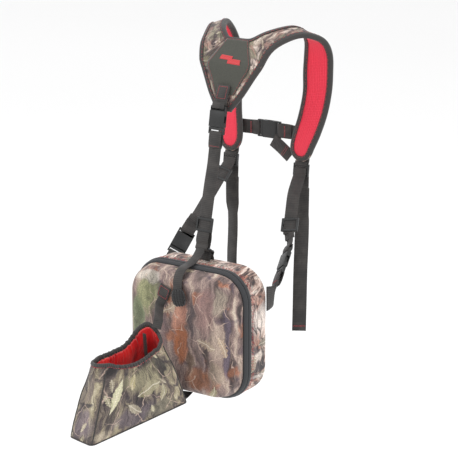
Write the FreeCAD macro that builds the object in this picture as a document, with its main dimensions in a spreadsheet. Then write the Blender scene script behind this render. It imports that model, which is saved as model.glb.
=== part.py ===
"""Moulded pack with a padded four-point harness and a hanging boot pocket.

Frame: +Z up, the zipped lid faces -Y, the wearer stands on the +Y side and +X is
to the right when the lid is seen from in front.  The origin is the centre of the
pack's rear face.  All sizes are millimetres.
"""
import FreeCAD, Part
import math
import os
import re

import Sketcher

from FreeCAD import Placement, Rotation, Vector

doc = FreeCAD.newDocument("harness_pack")
sheet = doc.addObject("Spreadsheet::Sheet", "Sizes")

SIZES = [
    # moulded pack
    ("pack_width", 230), ("pack_height", 224), ("pack_corner", 52), ("rear_depth", 52),
    ("lid_depth", 35), ("shell_wall", 4), ("lining_wall", 2), ("rear_round", 8),
    ("lid_round", 24), ("back_margin", 14), ("back_panel_thick", 3),
    # zipper between the two halves
    ("tape_depth", 8.8), ("tape_wall", 3), ("coil_gap", 0.3), ("hinge_width", 116),
    ("hinge_thick", 1.4), ("slider_length", 9), ("slider_width", 10), ("slider_thick", 4),
    ("slider_lift", 0.5), ("upper_slider_up", 22), ("lower_slider_up", -10),
    ("pull_length", 19), ("pull_width", 7), ("pull_thick", 1.6),
    # webbing and plastic hardware
    ("web_width", 25), ("web_thick", 1.6), ("slot_play", 0.5), ("edge_play", 0.2), ("fold_length", 28),
    ("buckle_width", "=web_width + 6"), ("buckle_length", 28), ("buckle_thick", 8), ("buckle_wall", 2.6),
    ("cavity_thick", 5), ("bar_depth", 5), ("bar_height", 3), ("slot_height", 4),
    ("prong_length", 19), ("prong_width", 4), ("prong_thick", 4), ("half_gap", 0.4),
    ("glide_height", 24), ("glide_thick", 5), ("glide_rail", 3), ("glide_bar", 1.2),
    ("lock_height", 22), ("lock_thick", 5),
    # ring over the pack
    ("ring_wide", 34), ("ring_deep", 20), ("ring_wire", 3.6), ("ring_up", 19),
    ("ring_out", 25), ("ring_tilt", 35),
    # harness padding
    ("pad_shell_thick", 6.5), ("pad_mesh_thick", 2.5), ("patch_thick", 1.2),
    # boot pocket
    ("boot_length", 208), ("boot_width", 60), ("boot_corner", 14), ("boot_tall", 126),
    ("mouth_length", 124), ("mouth_width", 58), ("mouth_corner", 26), ("mouth_shift", 7),
    ("mouth_tilt", -8), ("boot_wall", 3), ("boot_lining_wall", 1.4), ("cloth_gap", 0.5),
    ("binding_height", 10), ("binding_wall", 5.2), ("base_thick", 4), ("piping", 2.6),
    ("boot_gap", 21), ("boot_drop", 7), ("boot_yaw", 76.9), ("boot_pitch", 7.2),
    # straps over the lid
    ("lid_strap_thick", 2.2), ("keeper_width", 24), ("keeper_length", 24), ("keeper_thick", 3),
    ("roll_length", 26), ("roll_width", 28), ("roll_thick", 7), ("tail_length", 297),
]
for row, (alias, value) in enumerate(SIZES, start=1):
    sheet.set("A%d" % row, alias)
    sheet.set("B%d" % row, str(value))
    sheet.setAlias("B%d" % row, alias)
doc.recompute()
ALIASES = [alias for alias, value in SIZES]

# Right-hand shoulder pad: neck edge and arm edge of its outer face, from the yoke
# over the shoulder and down to the ladder-lock.  The left pad mirrors it.
PAD_STATIONS = [
    ((23, 76.5, 484), (64, 48, 444)), ((41, 92, 496), (72, 62, 469)),
    ((58, 117, 503), (82, 88, 484)), ((69, 142, 504), (97, 122, 493)),
    ((74, 163, 494), (111, 150, 489)), ((73, 178, 476), (119, 172, 478)),
    ((68, 185, 450), (121, 188, 452)), ((66, 185, 415), (121, 190, 418)),
    ((66, 185, 380), (119, 190, 384)), ((62, 178, 340), (115, 183, 345)),
    ((55, 171, 305), (107, 173, 308)), ((52, 167, 280), (98, 166, 281)),
    ((61, 164, 262), (88, 164, 260)),
]
# Yoke between the shoulders: half width, Y and Z of its outer face from the tip up.
YOKE_ROWS = [(14, 27, 365), (34, 34, 392), (49, 41, 418), (64, 48, 444), (23, 76.5, 484)]
# Patch on the yoke: half width at the same heights.
PATCH_ROWS = [(20, 34, 392), (33, 41, 418), (44, 48, 444), (22, 76.5, 484)]
YOKE_TOP_NORMAL = Vector(0, -40, 28.5)


def size(name):
    """Value of a sheet cell as a plain number."""
    return float(getattr(sheet, name))


def bound(text):
    """Spreadsheet expression for a formula written with the plain alias names."""
    return re.sub(r"[a-z][a-z_]+", lambda m: "Sizes." + m.group(0) if m.group(0) in ALIASES else m.group(0), text)


def label(feature, name, placement=None):
    """Give a finished sub-part its node name and its place."""
    feature.Label = name
    if placement is not None:
        feature.Placement = placement
    finished.append(feature)
    return feature


finished = []


# ---------------------------------------------------------------- solid helpers
def block(name, low, lengths):
    """Box with its low corner and its three lengths bound to the sheet."""
    box = doc.addObject("Part::Box", name)
    for prop, text in zip(("Length", "Width", "Height"), lengths):
        box.setExpression(prop, bound(text))
    for axis, text in zip("xyz", low):
        box.setExpression("Placement.Base." + axis, bound(text))
    return box


def centred(name, wide, thick, bottom, height):
    """Box centred on X and Y that starts at a given height."""
    low = ("-(%s) / 2" % wide, "-(%s) / 2" % thick, bottom)
    return block(name, low, (wide, thick, height))


def joined(name, shapes):
    """Union of several primitives."""
    fuse = doc.addObject("Part::MultiFuse", name)
    fuse.Shapes = shapes
    return fuse


def removed(name, base, tool):
    """Base with the tool taken away."""
    cut = doc.addObject("Part::Cut", name)
    cut.Base = base
    cut.Tool = tool
    return cut


def feature(name, shape):
    """Sub-part whose shape comes from Part's own functions."""
    obj = doc.addObject("Part::Feature", name)
    obj.Shape = shape
    return obj


def axes_placement(origin, wide, up):
    """Placement with local X along the width and local Z along the strap."""
    wide = Vector(*wide)
    up = Vector(*up)
    return Placement(Vector(*origin), Rotation(wide, up.cross(wide), up, "ZXY"))


def mirror(point, side):
    """Point or direction on the right (1) or the left (-1) side."""
    return (side * point[0], point[1], point[2])


# ---------------------------------------------------------------- ruled cloth
def quad(corners):
    """Closed wire through four corners."""
    return Part.makePolygon(list(corners) + [corners[0]])


def loft(sections):
    """Ruled solid through four-cornered sections."""
    return Part.makeLoft([quad(corners) for corners in sections], True, True)


def path_normals(points, widths):
    """Flat side's direction and mitre factor at each point of a strap."""
    result = []
    for index, point in enumerate(points):
        before = (point - points[index - 1]).normalize() if index else None
        after = (points[index + 1] - point).normalize() if index + 1 < len(points) else None
        tangent = (before or after) + (after or before)
        tangent.normalize()
        normal = tangent.cross(widths[index]).normalize()
        mitre = 1 / max(0.5, tangent.dot(after or before))
        result.append(normal * mitre)
    return result


def strap(points, wide, thick, across=(1, 0, 0)):
    """Flat strap along hand-picked points, with one width direction or one per point."""
    points = [Vector(*point) for point in points]
    if isinstance(across[0], tuple):
        widths = [Vector(*direction).normalize() for direction in across]
    else:
        widths = [Vector(*across).normalize()] * len(points)
    sections = []
    for point, width, normal in zip(points, widths, path_normals(points, widths)):
        half = width * wide / 2
        lift = normal * thick / 2
        sections.append([point - half - lift, point + half - lift, point + half + lift, point - half + lift])
    return loft(sections)


# ---------------------------------------------------------------- moulded pack
def origin_plane(body, role):
    """One of a body's own origin planes."""
    return [item for item in body.Origin.OriginFeatures if item.Role == role][0]


def outline(body, name, role, level, wide, tall, corner, shift=None, tilt=None):
    """Sketch with one rounded rectangle, on an origin plane raised by a level."""
    sketch = body.newObject("Sketcher::SketchObject", name)
    sketch.AttachmentSupport = (origin_plane(body, role), [""])
    sketch.MapMode = "FlatFace"
    if tilt:
        sketch.AttachmentOffset = Placement(Vector(), Rotation(Vector(0, 1, 0), 1))
        sketch.setExpression("AttachmentOffset.Rotation.Angle", bound(tilt))
    sketch.setExpression("AttachmentOffset.Base.z", bound(level))
    if shift:
        sketch.setExpression("AttachmentOffset.Base.x", bound(shift))
    add_round_rectangle(sketch, wide, tall, corner)
    return sketch


def add_round_rectangle(sketch, wide, tall, corner):
    """Four lines and four tangent arcs about the sketch origin, bound to the sheet."""
    half_x, half_y, radius = (evaluate(text) for text in ("(%s) / 2" % wide, "(%s) / 2" % tall, corner))
    inner_x = half_x - radius
    inner_y = half_y - radius
    first = sketch.GeometryCount
    quarter = math.pi / 2
    for index, (sx, sy) in enumerate(((1, 1), (-1, 1), (-1, -1), (1, -1))):
        circle = Part.Circle(Vector(sx * inner_x, sy * inner_y, 0), Vector(0, 0, 1), radius)
        sketch.addGeometry(Part.ArcOfCircle(circle, index * quarter, (index + 1) * quarter), False)
    ends = [((inner_x, half_y), (-inner_x, half_y)), ((-half_x, inner_y), (-half_x, -inner_y)),
            ((-inner_x, -half_y), (inner_x, -half_y)), ((half_x, -inner_y), (half_x, inner_y))]
    for start, end in ends:
        sketch.addGeometry(Part.LineSegment(Vector(*start, 0), Vector(*end, 0)), False)
    for index in range(4):
        line = first + 4 + index
        following = first + (index + 1) % 4
        sketch.addConstraint(Sketcher.Constraint("Tangent", first + index, 2, line, 1))
        sketch.addConstraint(Sketcher.Constraint("Tangent", line, 2, following, 1))
    for index in range(1, 4):
        sketch.addConstraint(Sketcher.Constraint("Equal", first, first + index))
    sketch.addConstraint(Sketcher.Constraint("Horizontal", first + 4))
    sketch.addConstraint(Sketcher.Constraint("Vertical", first + 5))
    sketch.addConstraint(Sketcher.Constraint("Symmetric", first, 3, first + 2, 3, -1, 1))
    dims = (("Radius", (first, radius), corner),
            ("DistanceX", (first + 1, 3, first, 3, 2 * inner_x), "%s - 2 * (%s)" % (wide, corner)),
            ("DistanceY", (first + 2, 3, first + 1, 3, 2 * inner_y), "%s - 2 * (%s)" % (tall, corner)))
    for kind, arguments, text in dims:
        number = sketch.addConstraint(Sketcher.Constraint(kind, *arguments))
        sketch.setExpression("Constraints[%d]" % number, bound(text))


def evaluate(text):
    """Number of a formula written with alias names."""
    return float(sheet.evalExpression(bound(text)))


def pad(body, name, sketch, length, backwards=False):
    """Pad a sketch by a bound length."""
    solid = body.newObject("PartDesign::Pad", name)
    solid.Profile = sketch
    solid.Reversed = backwards
    solid.setExpression("Length", bound(length))
    return solid


def pocket(body, name, sketch, length, backwards=False):
    """Pocket a sketch by a bound length and check that it removed material."""
    doc.recompute()
    before = body.Shape.Volume
    hole = body.newObject("PartDesign::Pocket", name)
    hole.Profile = sketch
    hole.Reversed = backwards
    hole.setExpression("Length", bound(length))
    doc.recompute()
    if not body.Shape.Volume < before:
        raise ValueError(name + " removes nothing")
    return hole


def fillet_at(body, name, base, radius, level):
    """Round every edge of the base that lies in the plane Y = -level."""
    doc.recompute()
    place = -evaluate(level)
    edges = []
    for number, edge in enumerate(base.Shape.Edges, start=1):
        if all(abs(vertex.Point.y - place) < 0.01 for vertex in edge.Vertexes):
            edges.append("Edge%d" % number)
    rounded = body.newObject("PartDesign::Fillet", name)
    rounded.Base = (base, edges)
    rounded.setExpression("Radius", bound(radius))
    return rounded


def tray(name, open_level, closed_level, inset, wall, rounding):
    """Rounded-rectangle tray, open at one level and closed at the other."""
    body = doc.addObject("PartDesign::Body", name)
    depth = "abs((%s) - (%s))" % (closed_level, open_level)
    forwards = evaluate(closed_level) > evaluate(open_level)
    wide, tall, corner = (text % inset for text in ("pack_width - 2 * (%s)", "pack_height - 2 * (%s)",
                                                    "pack_corner - (%s)"))
    outer = outline(body, name + "_outer", "XZ_Plane", open_level, wide, tall, corner)
    pad(body, name + "_block", outer, depth, not forwards)
    inner_inset = "(%s) + (%s)" % (inset, wall)
    wide, tall, corner = (text % inner_inset for text in ("pack_width - 2 * (%s)", "pack_height - 2 * (%s)",
                                                          "pack_corner - (%s)"))
    inner = outline(body, name + "_inner", "XZ_Plane", open_level, wide, tall, corner)
    hollow = pocket(body, name + "_hollow", inner, "%s - (%s)" % (depth, wall), forwards)
    floor = fillet_at(body, name + "_floor", hollow, "%s - (%s)" % (rounding, wall),
                      "(%s) %s (%s)" % (closed_level, "-" if forwards else "+", wall))
    fillet_at(body, name + "_edge", floor, rounding, closed_level)
    return label(body, name)


def band(name, start, depth, wall):
    """Strip of even depth that runs round the pack's outline."""
    body = doc.addObject("PartDesign::Body", name)
    outer = outline(body, name + "_outer", "XZ_Plane", start, "pack_width", "pack_height", "pack_corner")
    pad(body, name + "_block", outer, depth)
    inner = outline(body, name + "_inner", "XZ_Plane", "%s + %s" % (start, depth), "pack_width - 2 * %s" % wall,
                    "pack_height - 2 * %s" % wall, "pack_corner - %s" % wall)
    pocket(body, name + "_hollow", inner, depth)
    return label(body, name)


def make_pack():
    """Moulded rear tray and lid with their linings, the zipper and the back panel."""
    body = doc.addObject("PartDesign::Body", "pack_back_panel")
    face = outline(body, "back_outline", "XZ_Plane", "0", "pack_width - 2 * back_margin",
                   "pack_height - 2 * back_margin", "pack_corner - back_margin")
    pad(body, "back_block", face, "back_panel_thick")
    label(body, "pack_back_panel")
    lid_start = "rear_depth + 2 * tape_depth + coil_gap"
    front = lid_start + " + lid_depth"
    tray("pack_rear_shell", "rear_depth", "back_panel_thick", "0", "shell_wall", "rear_round")
    tray("pack_rear_lining", "rear_depth", "back_panel_thick + shell_wall", "shell_wall",
         "lining_wall", "rear_round - shell_wall + 1")
    band("zipper_rear", "rear_depth", "tape_depth", "tape_wall")
    band("zipper_lid", "rear_depth + tape_depth + coil_gap", "tape_depth", "tape_wall")
    tray("lid_shell", lid_start, front, "0", "shell_wall", "lid_round")
    tray("lid_lining", lid_start, front + " - shell_wall", "shell_wall", "lining_wall", "lid_round - shell_wall")


def make_zipper_parts():
    """Fabric hinge under the pack and the two sliders with their pulls."""
    depth = "rear_depth + tape_depth - 2"
    strip = block("lid_hinge_strip", ("-hinge_width / 2", "-(%s) - 1" % depth, "-pack_height / 2 - hinge_thick"),
                  ("hinge_width", depth + " - back_panel_thick - rear_round", "hinge_thick"))
    label(strip, "lid_hinge")
    middle = "-(rear_depth + tape_depth + coil_gap / 2)"
    for side, up in (("upper", "upper_slider_up"), ("lower", "lower_slider_up")):
        outer = "-pack_width / 2 - slider_lift - slider_thick"
        slider = block("slider_" + side, (outer, middle + " - slider_width / 2", up + " - slider_length / 2"),
                       ("slider_thick", "slider_width", "slider_length"))
        label(slider, "zip_slider_" + side)
        pull = block("pull_" + side, (outer + " - slot_play - pull_thick", middle + " - pull_width / 2",
                                      up + " - pull_length"), ("pull_thick", "pull_width", "pull_length"))
        label(pull, "zip_pull_" + side)


# ---------------------------------------------------------------- hardware
def make_female(name, placement):
    """Socket half of a side-release buckle: mouth at local Z = 0, webbing bar on top."""
    shell = centred(name + "_case", "buckle_width", "buckle_thick", "0", "buckle_length")
    loop = centred(name + "_loop", "buckle_width", "bar_depth", "buckle_length", "slot_height + bar_height + 1")
    cavity = centred(name + "_cavity", "buckle_width - 2 * buckle_wall", "cavity_thick", "-1",
                     "buckle_length - buckle_wall + 1")
    window = centred(name + "_window", "buckle_width + 2", "cavity_thick", "buckle_length * 0.3",
                     "buckle_length * 0.4")
    slot = centred(name + "_slot", "web_width + 2 * slot_play", "buckle_thick + 2", "buckle_length + 1",
                   "slot_height")
    solid = removed(name + "_solid", joined(name + "_all", [shell, loop]),
                    joined(name + "_holes", [cavity, window, slot]))
    return label(solid, name, placement)


def make_male(name, placement):
    """Plug half: webbing bar below the mouth, guide tongue and two arms inside."""
    base = centred(name + "_base", "buckle_width", "bar_depth", "-(bar_height + slot_height + 5)",
                   "bar_height + slot_height + 5 - half_gap")
    slot = centred(name + "_slot", "web_width + 2 * slot_play", "bar_depth + 2", "-(slot_height + 5)",
                   "slot_height")
    tongue = centred(name + "_tongue", "prong_width", "prong_thick", "-half_gap - 1", "prong_length")
    arms = []
    reach = "(buckle_width / 2 - buckle_wall - half_gap)"
    for side, low in (("right", reach + " - prong_width"), ("left", "-" + reach)):
        arms.append(block(name + "_arm_" + side, (low, "-prong_thick / 2", "-half_gap - 1"),
                          ("prong_width", "prong_thick", "prong_length + 1")))
    solid = removed(name + "_solid", joined(name + "_all", [base, tongue] + arms), slot)
    return label(solid, name, placement)


def fold_solid(bar_edge, inwards, length):
    """Flat tube of webbing round a bar: its bend lies in the slot beside the bar.

    bar_edge is the local height of the bar's edge at the slot, and inwards is the
    direction, 1 or -1, from the slot over the bar.
    """
    thick = size("web_thick")
    half = size("bar_depth") / 2 + size("slot_play") / 2
    wide = size("web_width")
    bend = bar_edge - inwards * (thick + size("slot_play") / 2)
    low = bend if inwards > 0 else bend - length
    hollow_low = low + thick if inwards > 0 else low - thick
    outer = Part.makeBox(wide, 2 * (half + thick), length, Vector(-wide / 2, -half - thick, low))
    inner = Part.makeBox(wide + 2, 2 * half, length, Vector(-wide / 2 - 1, -half, hollow_low))
    return outer.cut(inner)


def male_fold(name, placement):
    """Stitched webbing fold on a plug's bar, open towards the strap."""
    edge = -(size("slot_height") + 5)
    return label(feature(name, fold_solid(edge, -1, size("fold_length"))), name, placement)


def female_edge():
    """Local height of the socket bar's edge at the slot."""
    return size("buckle_length") + 1 + size("slot_height")


def local(placement, point):
    """Global tuple of a point given in a placement's own axes."""
    return tuple(placement.multVec(Vector(*point)))


def make_glide(name, placement):
    """Tri-glide: two rails, two front bars and a rear bar that the strap runs between."""
    rails = []
    rail_out = "(web_width / 2 + slot_play + glide_rail)"
    for side, low in (("right", rail_out + " - glide_rail"), ("left", "-" + rail_out)):
        rails.append(block(name + "_rail_" + side, (low, "-glide_thick / 2", "-glide_height / 2"),
                           ("glide_rail", "glide_thick", "glide_height")))
    bars = []
    for part, side, bottom in (("top", "-1", "glide_height / 2 - 4"), ("middle", "1", "-2"),
                               ("bottom", "-1", "-glide_height / 2")):
        low_y = "-glide_thick / 2" if side == "-1" else "glide_thick / 2 - glide_bar"
        bars.append(block(name + "_bar_" + part, ("-" + rail_out, low_y, bottom),
                          ("2 * " + rail_out, "glide_bar", "4")))
    return label(joined(name + "_solid", rails + bars), name, placement)


def make_lock(name, placement):
    """Ladder-lock: flat frame with two webbing slots between three bars."""
    frame = centred(name + "_frame", "buckle_width", "lock_thick", "-lock_height / 2", "lock_height")
    upper = centred(name + "_upper", "web_width + 2 * slot_play", "lock_thick + 2", "2.5", "5")
    lower = centred(name + "_lower", "web_width + 2 * slot_play", "lock_thick + 2", "-7.5", "5.5")
    return label(removed(name + "_solid", frame, joined(name + "_slots", [upper, lower])), name, placement)


def make_ring():
    """Rectangular metal ring that hangs in the haul tab over the pack."""
    half_wide = "(ring_wide / 2)"
    half_deep = "(ring_deep / 2)"
    frame = block("ring_outer", ("-" + half_wide, "-" + half_deep, "-ring_wire / 2"),
                  ("ring_wide", "ring_deep", "ring_wire"))
    hole = block("ring_hole", ("-%s + ring_wire" % half_wide, "-%s + ring_wire" % half_deep, "-ring_wire"),
                 ("ring_wide - 2 * ring_wire", "ring_deep - 2 * ring_wire", "2 * ring_wire"))
    solid = removed("ring_solid", frame, hole)
    return label(solid, "pack_ring", ring_placement())


def ring_placement():
    """The ring stands over the pack's top, tilted up towards the front."""
    centre = Vector(0, -size("ring_out"), size("pack_height") / 2 + size("ring_up"))
    return Placement(centre, Rotation(Vector(1, 0, 0), -size("ring_tilt")))


# ---------------------------------------------------------------- harness padding
def pad_layer(side, outer, inner):
    """One layer of a shoulder pad between two depths below its outer face."""
    stations = [(Vector(*mirror(neck, side)), Vector(*mirror(arm, side))) for neck, arm in PAD_STATIONS]
    middles = [(neck + arm) / 2 for neck, arm in stations]
    sections = []
    for index, (neck, arm) in enumerate(stations):
        run = middles[min(index + 1, len(middles) - 1)] - middles[max(index - 1, 0)]
        normal = (arm - neck).cross(run).normalize() * side
        if index == 0:
            normal = Vector(YOKE_TOP_NORMAL).normalize()
        sections.append([neck - normal * outer, arm - normal * outer, arm - normal * inner, neck - normal * inner])
    return loft(sections)


def yoke_layer(rows, outer, inner):
    """One layer of the yoke between two depths below its outer face."""
    centres = [Vector(0, row[1], row[2]) for row in rows]
    sections = []
    for index, (half, across, up) in enumerate(rows):
        run = centres[min(index + 1, len(rows) - 1)] - centres[max(index - 1, 0)]
        normal = Vector(0, -run.z, run.y).normalize()
        if index >= len(rows) - 2:
            normal = Vector(YOKE_TOP_NORMAL).normalize()
        left = Vector(-half, across, up)
        right = Vector(half, across, up)
        sections.append([left - normal * outer, right - normal * outer, right - normal * inner, left - normal * inner])
    return loft(sections)


def make_padding():
    """Yoke and two shoulder pads, each a foam-backed shell and a mesh lining."""
    shell = size("pad_shell_thick")
    total = shell + size("pad_mesh_thick")
    label(feature("yoke_shell_solid", yoke_layer(YOKE_ROWS, 0, shell)), "yoke_shell")
    label(feature("yoke_mesh_solid", yoke_layer(YOKE_ROWS, shell, total)), "yoke_mesh")
    label(feature("yoke_patch_solid", yoke_layer(PATCH_ROWS, -size("patch_thick"), 0)), "yoke_patch")
    for word, side in (("right", 1), ("left", -1)):
        label(feature("pad_shell_solid_" + word, pad_layer(side, 0, shell)), "pad_shell_" + word)
        label(feature("pad_mesh_solid_" + word, pad_layer(side, shell, total)), "pad_mesh_" + word)


# ---------------------------------------------------------------- webbing runs
def make_centre_line():
    """Yoke tab, its buckle, the centre strap down to the ring and the haul tab."""
    place = axes_placement((0, 12, 339), (1, 0, 0), (0, 0.17, 0.985))
    make_female("yoke_buckle_female", place)
    make_male("yoke_buckle_male", place)
    male_fold("yoke_buckle_fold", place)
    wide = size("web_width")
    double = 2 * size("web_thick")
    fold = fold_solid(female_edge(), 1, 10)
    fold.Placement = place
    tab = strap([local(place, (0, 2.6, female_edge() + 5)), (0, 24.5, 386), (0, 34.6, 408)],
                wide, double)
    label(feature("yoke_tab_solid", fold.fuse(tab)), "yoke_tab")
    top = -(size("slot_height") + 5) - size("fold_length") + 4
    pack_top = size("pack_height") / 2
    ring = ring_placement()
    front = -size("ring_deep") / 2
    bend = [local(ring, (0, front - 2.2, 5)), local(ring, (0, front - 2.2, -1.4)), local(ring, (0, front - 0.4, -3.2)),
            local(ring, (0, front + 3.8, -3.2)), local(ring, (0, front + 5.6, -1.4)), local(ring, (0, front + 5.6, 4))]
    points = [local(place, (0, 0, top)), local(place, (0, 0, top - 30)), (0, -9, 242), (0, -26.8, pack_top + 54),
              (0, -34, pack_top + 38)] + bend + [(0, -21.5, pack_top + 40), (0, -22.3, pack_top + 48)]
    label(feature("centre_strap_solid", strap(points, wide, size("web_thick"))), "centre_strap")
    make_glide("centre_glide", axes_placement((0, -24.9, pack_top + 63), (1, 0, 0), (0, 17.8, 76)))
    back = size("ring_deep") / 2
    tab_points = [(0, -27, pack_top + 0.3), (0, -26, pack_top + 4), local(ring, (0, back - 5.6, -3)),
                  local(ring, (0, back - 5.6, 1.4)), local(ring, (0, back - 3.8, 3.2)), local(ring, (0, back + 0.4, 3.2)),
                  local(ring, (0, back + 2.2, 1.4)), local(ring, (0, back + 2.2, -4)), (0, -15, pack_top + 4),
                  (0, -15, pack_top + 0.3)]
    label(feature("haul_tab_solid", strap(tab_points, wide, size("web_thick"))), "haul_tab")


def make_chest_line():
    """Sternum strap between the pads: plug on the left, socket pulls off to the right."""
    place = axes_placement((-17, 180, 306), (0, 0, 1), (1, 0, 0))
    make_female("chest_buckle_female", place)
    make_male("chest_buckle_male", place)
    wide = size("web_width")
    thick = size("web_thick")
    female = fold_solid(female_edge(), 1, size("fold_length"))
    label(feature("chest_fold_solid", female), "chest_buckle_fold", place)
    left = fold_solid(-(size("slot_height") + 5), -1, 14)
    left.Placement = place
    tab = strap([local(place, (0, -2.8, -17)), (-54, 177.6, 306), (-64, 178.2, 306), (-84, 178.4, 306)], wide,
                2 * thick, (0, 0, 1))
    label(feature("chest_strap_left_solid", left.fuse(tab)), "chest_strap_left")
    start = female_edge() + size("fold_length") - 5
    stub = strap([local(place, (0, 0, start)), (66, 179.4, 306), (84, 178.4, 306)], wide, thick, (0, 0, 1))
    label(feature("chest_strap_right_solid", stub), "chest_strap_right")


SIDE_UP = (-0.1, 0.665, 0.74)
SIDE_ACROSS = (-0.749, 0.44, -0.497)


def make_side_line(word, side):
    """Ladder-lock, adjuster strap, tail, buckle and wing tab down one side of the pack."""
    reach = size("pack_width") / 2
    wide = size("web_width")
    thick = size("web_thick")
    along = mirror(SIDE_UP, side)
    across = mirror(SIDE_ACROSS, side)
    place = axes_placement((side * (reach - 4.4), 47, 99.4), across, along)
    make_female("side_buckle_female_" + word, place)
    make_male("side_buckle_male_" + word, place)
    male_fold("side_buckle_fold_" + word, place)
    fold = fold_solid(female_edge(), 1, 12)
    fold.Placement = place
    join = Vector(*local(place, (0, 0, female_edge() + 9)))
    twist = (side * -0.93, 0.25, -0.28)
    straight = (side * 1.0, 0, 0)
    widths = [across, across, twist, (-straight[0], 0, 0)]
    points = [join, local(place, (0, 0, female_edge() + 18)), (side * 101, 85.5, 146), (side * 97, 90.5, 155)]
    if side > 0:
        points += [(side * 85, 121, 211), (side * 77, 148.5, 233)]
        widths += [(-straight[0], 0, 0)] * 2
    else:
        points += [(side * 77.5, 150, 234)]
        widths += [(-straight[0], 0, 0)]
    points += [(side * 75.5, 157.4, 242)]
    widths += [(-straight[0], 0, 0)]
    run = strap(points, wide - 2 * size("edge_play"), thick, widths)
    deep = size("bar_depth") + 2 * thick
    plug = Part.makeBox(wide, deep, 3, Vector(-wide / 2, -deep / 2, female_edge() + 8.5))
    plug.Placement = place
    label(feature("side_strap_solid_" + word, fold.fuse([plug, run])), "side_strap_" + word)
    lock = axes_placement((side * 75, 161, 246), (1, 0, 0), (0, 0.12, 0.99))
    make_lock("ladder_lock_" + word, lock)
    lock_fold = fold_solid(size("lock_height") / 2 - 3.5, 1, 7.5)
    lock_fold.Placement = lock
    end_tab = strap([local(lock, (0, 3.6, 12)), (side * 75, 167.2, 262), (side * 75, 170, 280)], wide, 2.4)
    label(feature("pad_tab_solid_" + word, lock_fold.fuse(end_tab)), "pad_tab_" + word)
    tail = strap([(side * 75, 165.8, 246), (side * 75, 167, 236), (side * 75, 165.5, 150),
                  (side * 74, 163, 60), (side * 73, 162, 246 - size("tail_length"))], wide, thick)
    label(feature("tail_solid_" + word, tail), "strap_tail_" + word)
    make_wing(word, side, place)


def make_wing(word, side, place):
    """Fabric gusset sewn to the pack's side that narrows into the buckle's webbing."""
    wide = size("web_width")
    thick = size("web_thick")
    reach = size("pack_width") / 2
    upper = Vector(side * (reach + 0.4), -6, 78)
    lower = Vector(side * (reach + 2.2), -9, 40)
    outwards = Vector(side * 1.1, 0, 0)
    turn = place.Rotation
    half = turn.multVec(Vector(wide / 2, 0, 0))
    lift = turn.multVec(Vector(0, thick, 0))
    if half.z < 0:
        half = -half
    if lift.x * side < 0:
        lift = -lift
    top = -(size("slot_height") + 1) - size("fold_length")
    sections = []
    for level in (top, top - 22):
        middle = Vector(*local(place, (0, 0, level)))
        sections.append([middle + half - lift, middle - half - lift, middle - half + lift, middle + half + lift])
    sections.append([upper - outwards, lower - outwards, lower + outwards, upper + outwards])
    label(feature("wing_solid_" + word, loft(sections)), "wing_tab_" + word)


def make_glides():
    """One tri-glide on each side strap, at the heights where they were left."""
    make_glide("side_glide_right", axes_placement((95.2, 95.1, 163.4), (1, 0, 0), (-12, 30.5, 56)))
    make_glide("side_glide_left", axes_placement((-80.4, 141.1, 222.2), (1, 0, 0), (19.5, 59.5, 79)))


# ---------------------------------------------------------------- boot pocket
def boot_body(name):
    """Body placed in the boot's own frame: X towards the pack, Z up."""
    body = doc.addObject("PartDesign::Body", name)
    return body


def boot_placement():
    """Frame at the middle of the boot's base, hung in front of the lid."""
    front = size("rear_depth") + 2 * size("tape_depth") + size("coil_gap") + size("lid_depth")
    turn = Rotation(size("boot_yaw"), -size("boot_pitch"), 0)
    inner_end = Vector(9, -front - size("boot_gap") + 4, -size("pack_height") / 2 + size("boot_drop") - 1)
    return Placement(inner_end - turn.multVec(Vector(size("boot_length") / 2, 0, 0)), turn)


def boot_sections(body, name, inset):
    """Base and mouth outlines of one boot layer."""
    base = outline(body, name + "_low", "XY_Plane", "0", "boot_length - 2 * (%s)" % inset,
                   "boot_width - 2 * (%s)" % inset, "boot_corner - %s / 2" % inset)
    mouth = outline(body, name + "_high", "XY_Plane", "boot_tall", "mouth_length - 2 * (%s)" % inset,
                    "mouth_width - 2 * (%s)" % inset, "mouth_corner - (%s)" % inset, "mouth_shift", "mouth_tilt")
    return base, mouth


def boot_layer(name, outer_inset, inner_inset):
    """Tapering wall of the boot between two insets from its outer face."""
    body = boot_body(name)
    base, mouth = boot_sections(body, name + "_out", outer_inset)
    solid = body.newObject("PartDesign::AdditiveLoft", name + "_loft")
    solid.Profile = base
    solid.Sections = [mouth]
    solid.Ruled = True
    doc.recompute()
    before = body.Shape.Volume
    base, mouth = boot_sections(body, name + "_in", inner_inset)
    hollow = body.newObject("PartDesign::SubtractiveLoft", name + "_hollow")
    hollow.Profile = base
    hollow.Sections = [mouth]
    hollow.Ruled = True
    doc.recompute()
    if not body.Shape.Volume < before:
        raise ValueError(name + " is not hollow")
    return label(body, name, boot_placement())


def boot_ring(name, level, wide, tall, corner, wall, height, shift=None, tilt=None):
    """Upright band round an outline of the boot."""
    body = boot_body(name)
    outer = outline(body, name + "_outer", "XY_Plane", level, "%s + 2 * (%s)" % (wide, wall),
                    "%s + 2 * (%s)" % (tall, wall), "%s + %s" % (corner, wall), shift, tilt)
    pad(body, name + "_block", outer, height)
    inner = outline(body, name + "_inner", "XY_Plane", level, wide, tall, corner, shift, tilt)
    pocket(body, name + "_hollow", inner, height, True)
    return label(body, name, boot_placement())


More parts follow.
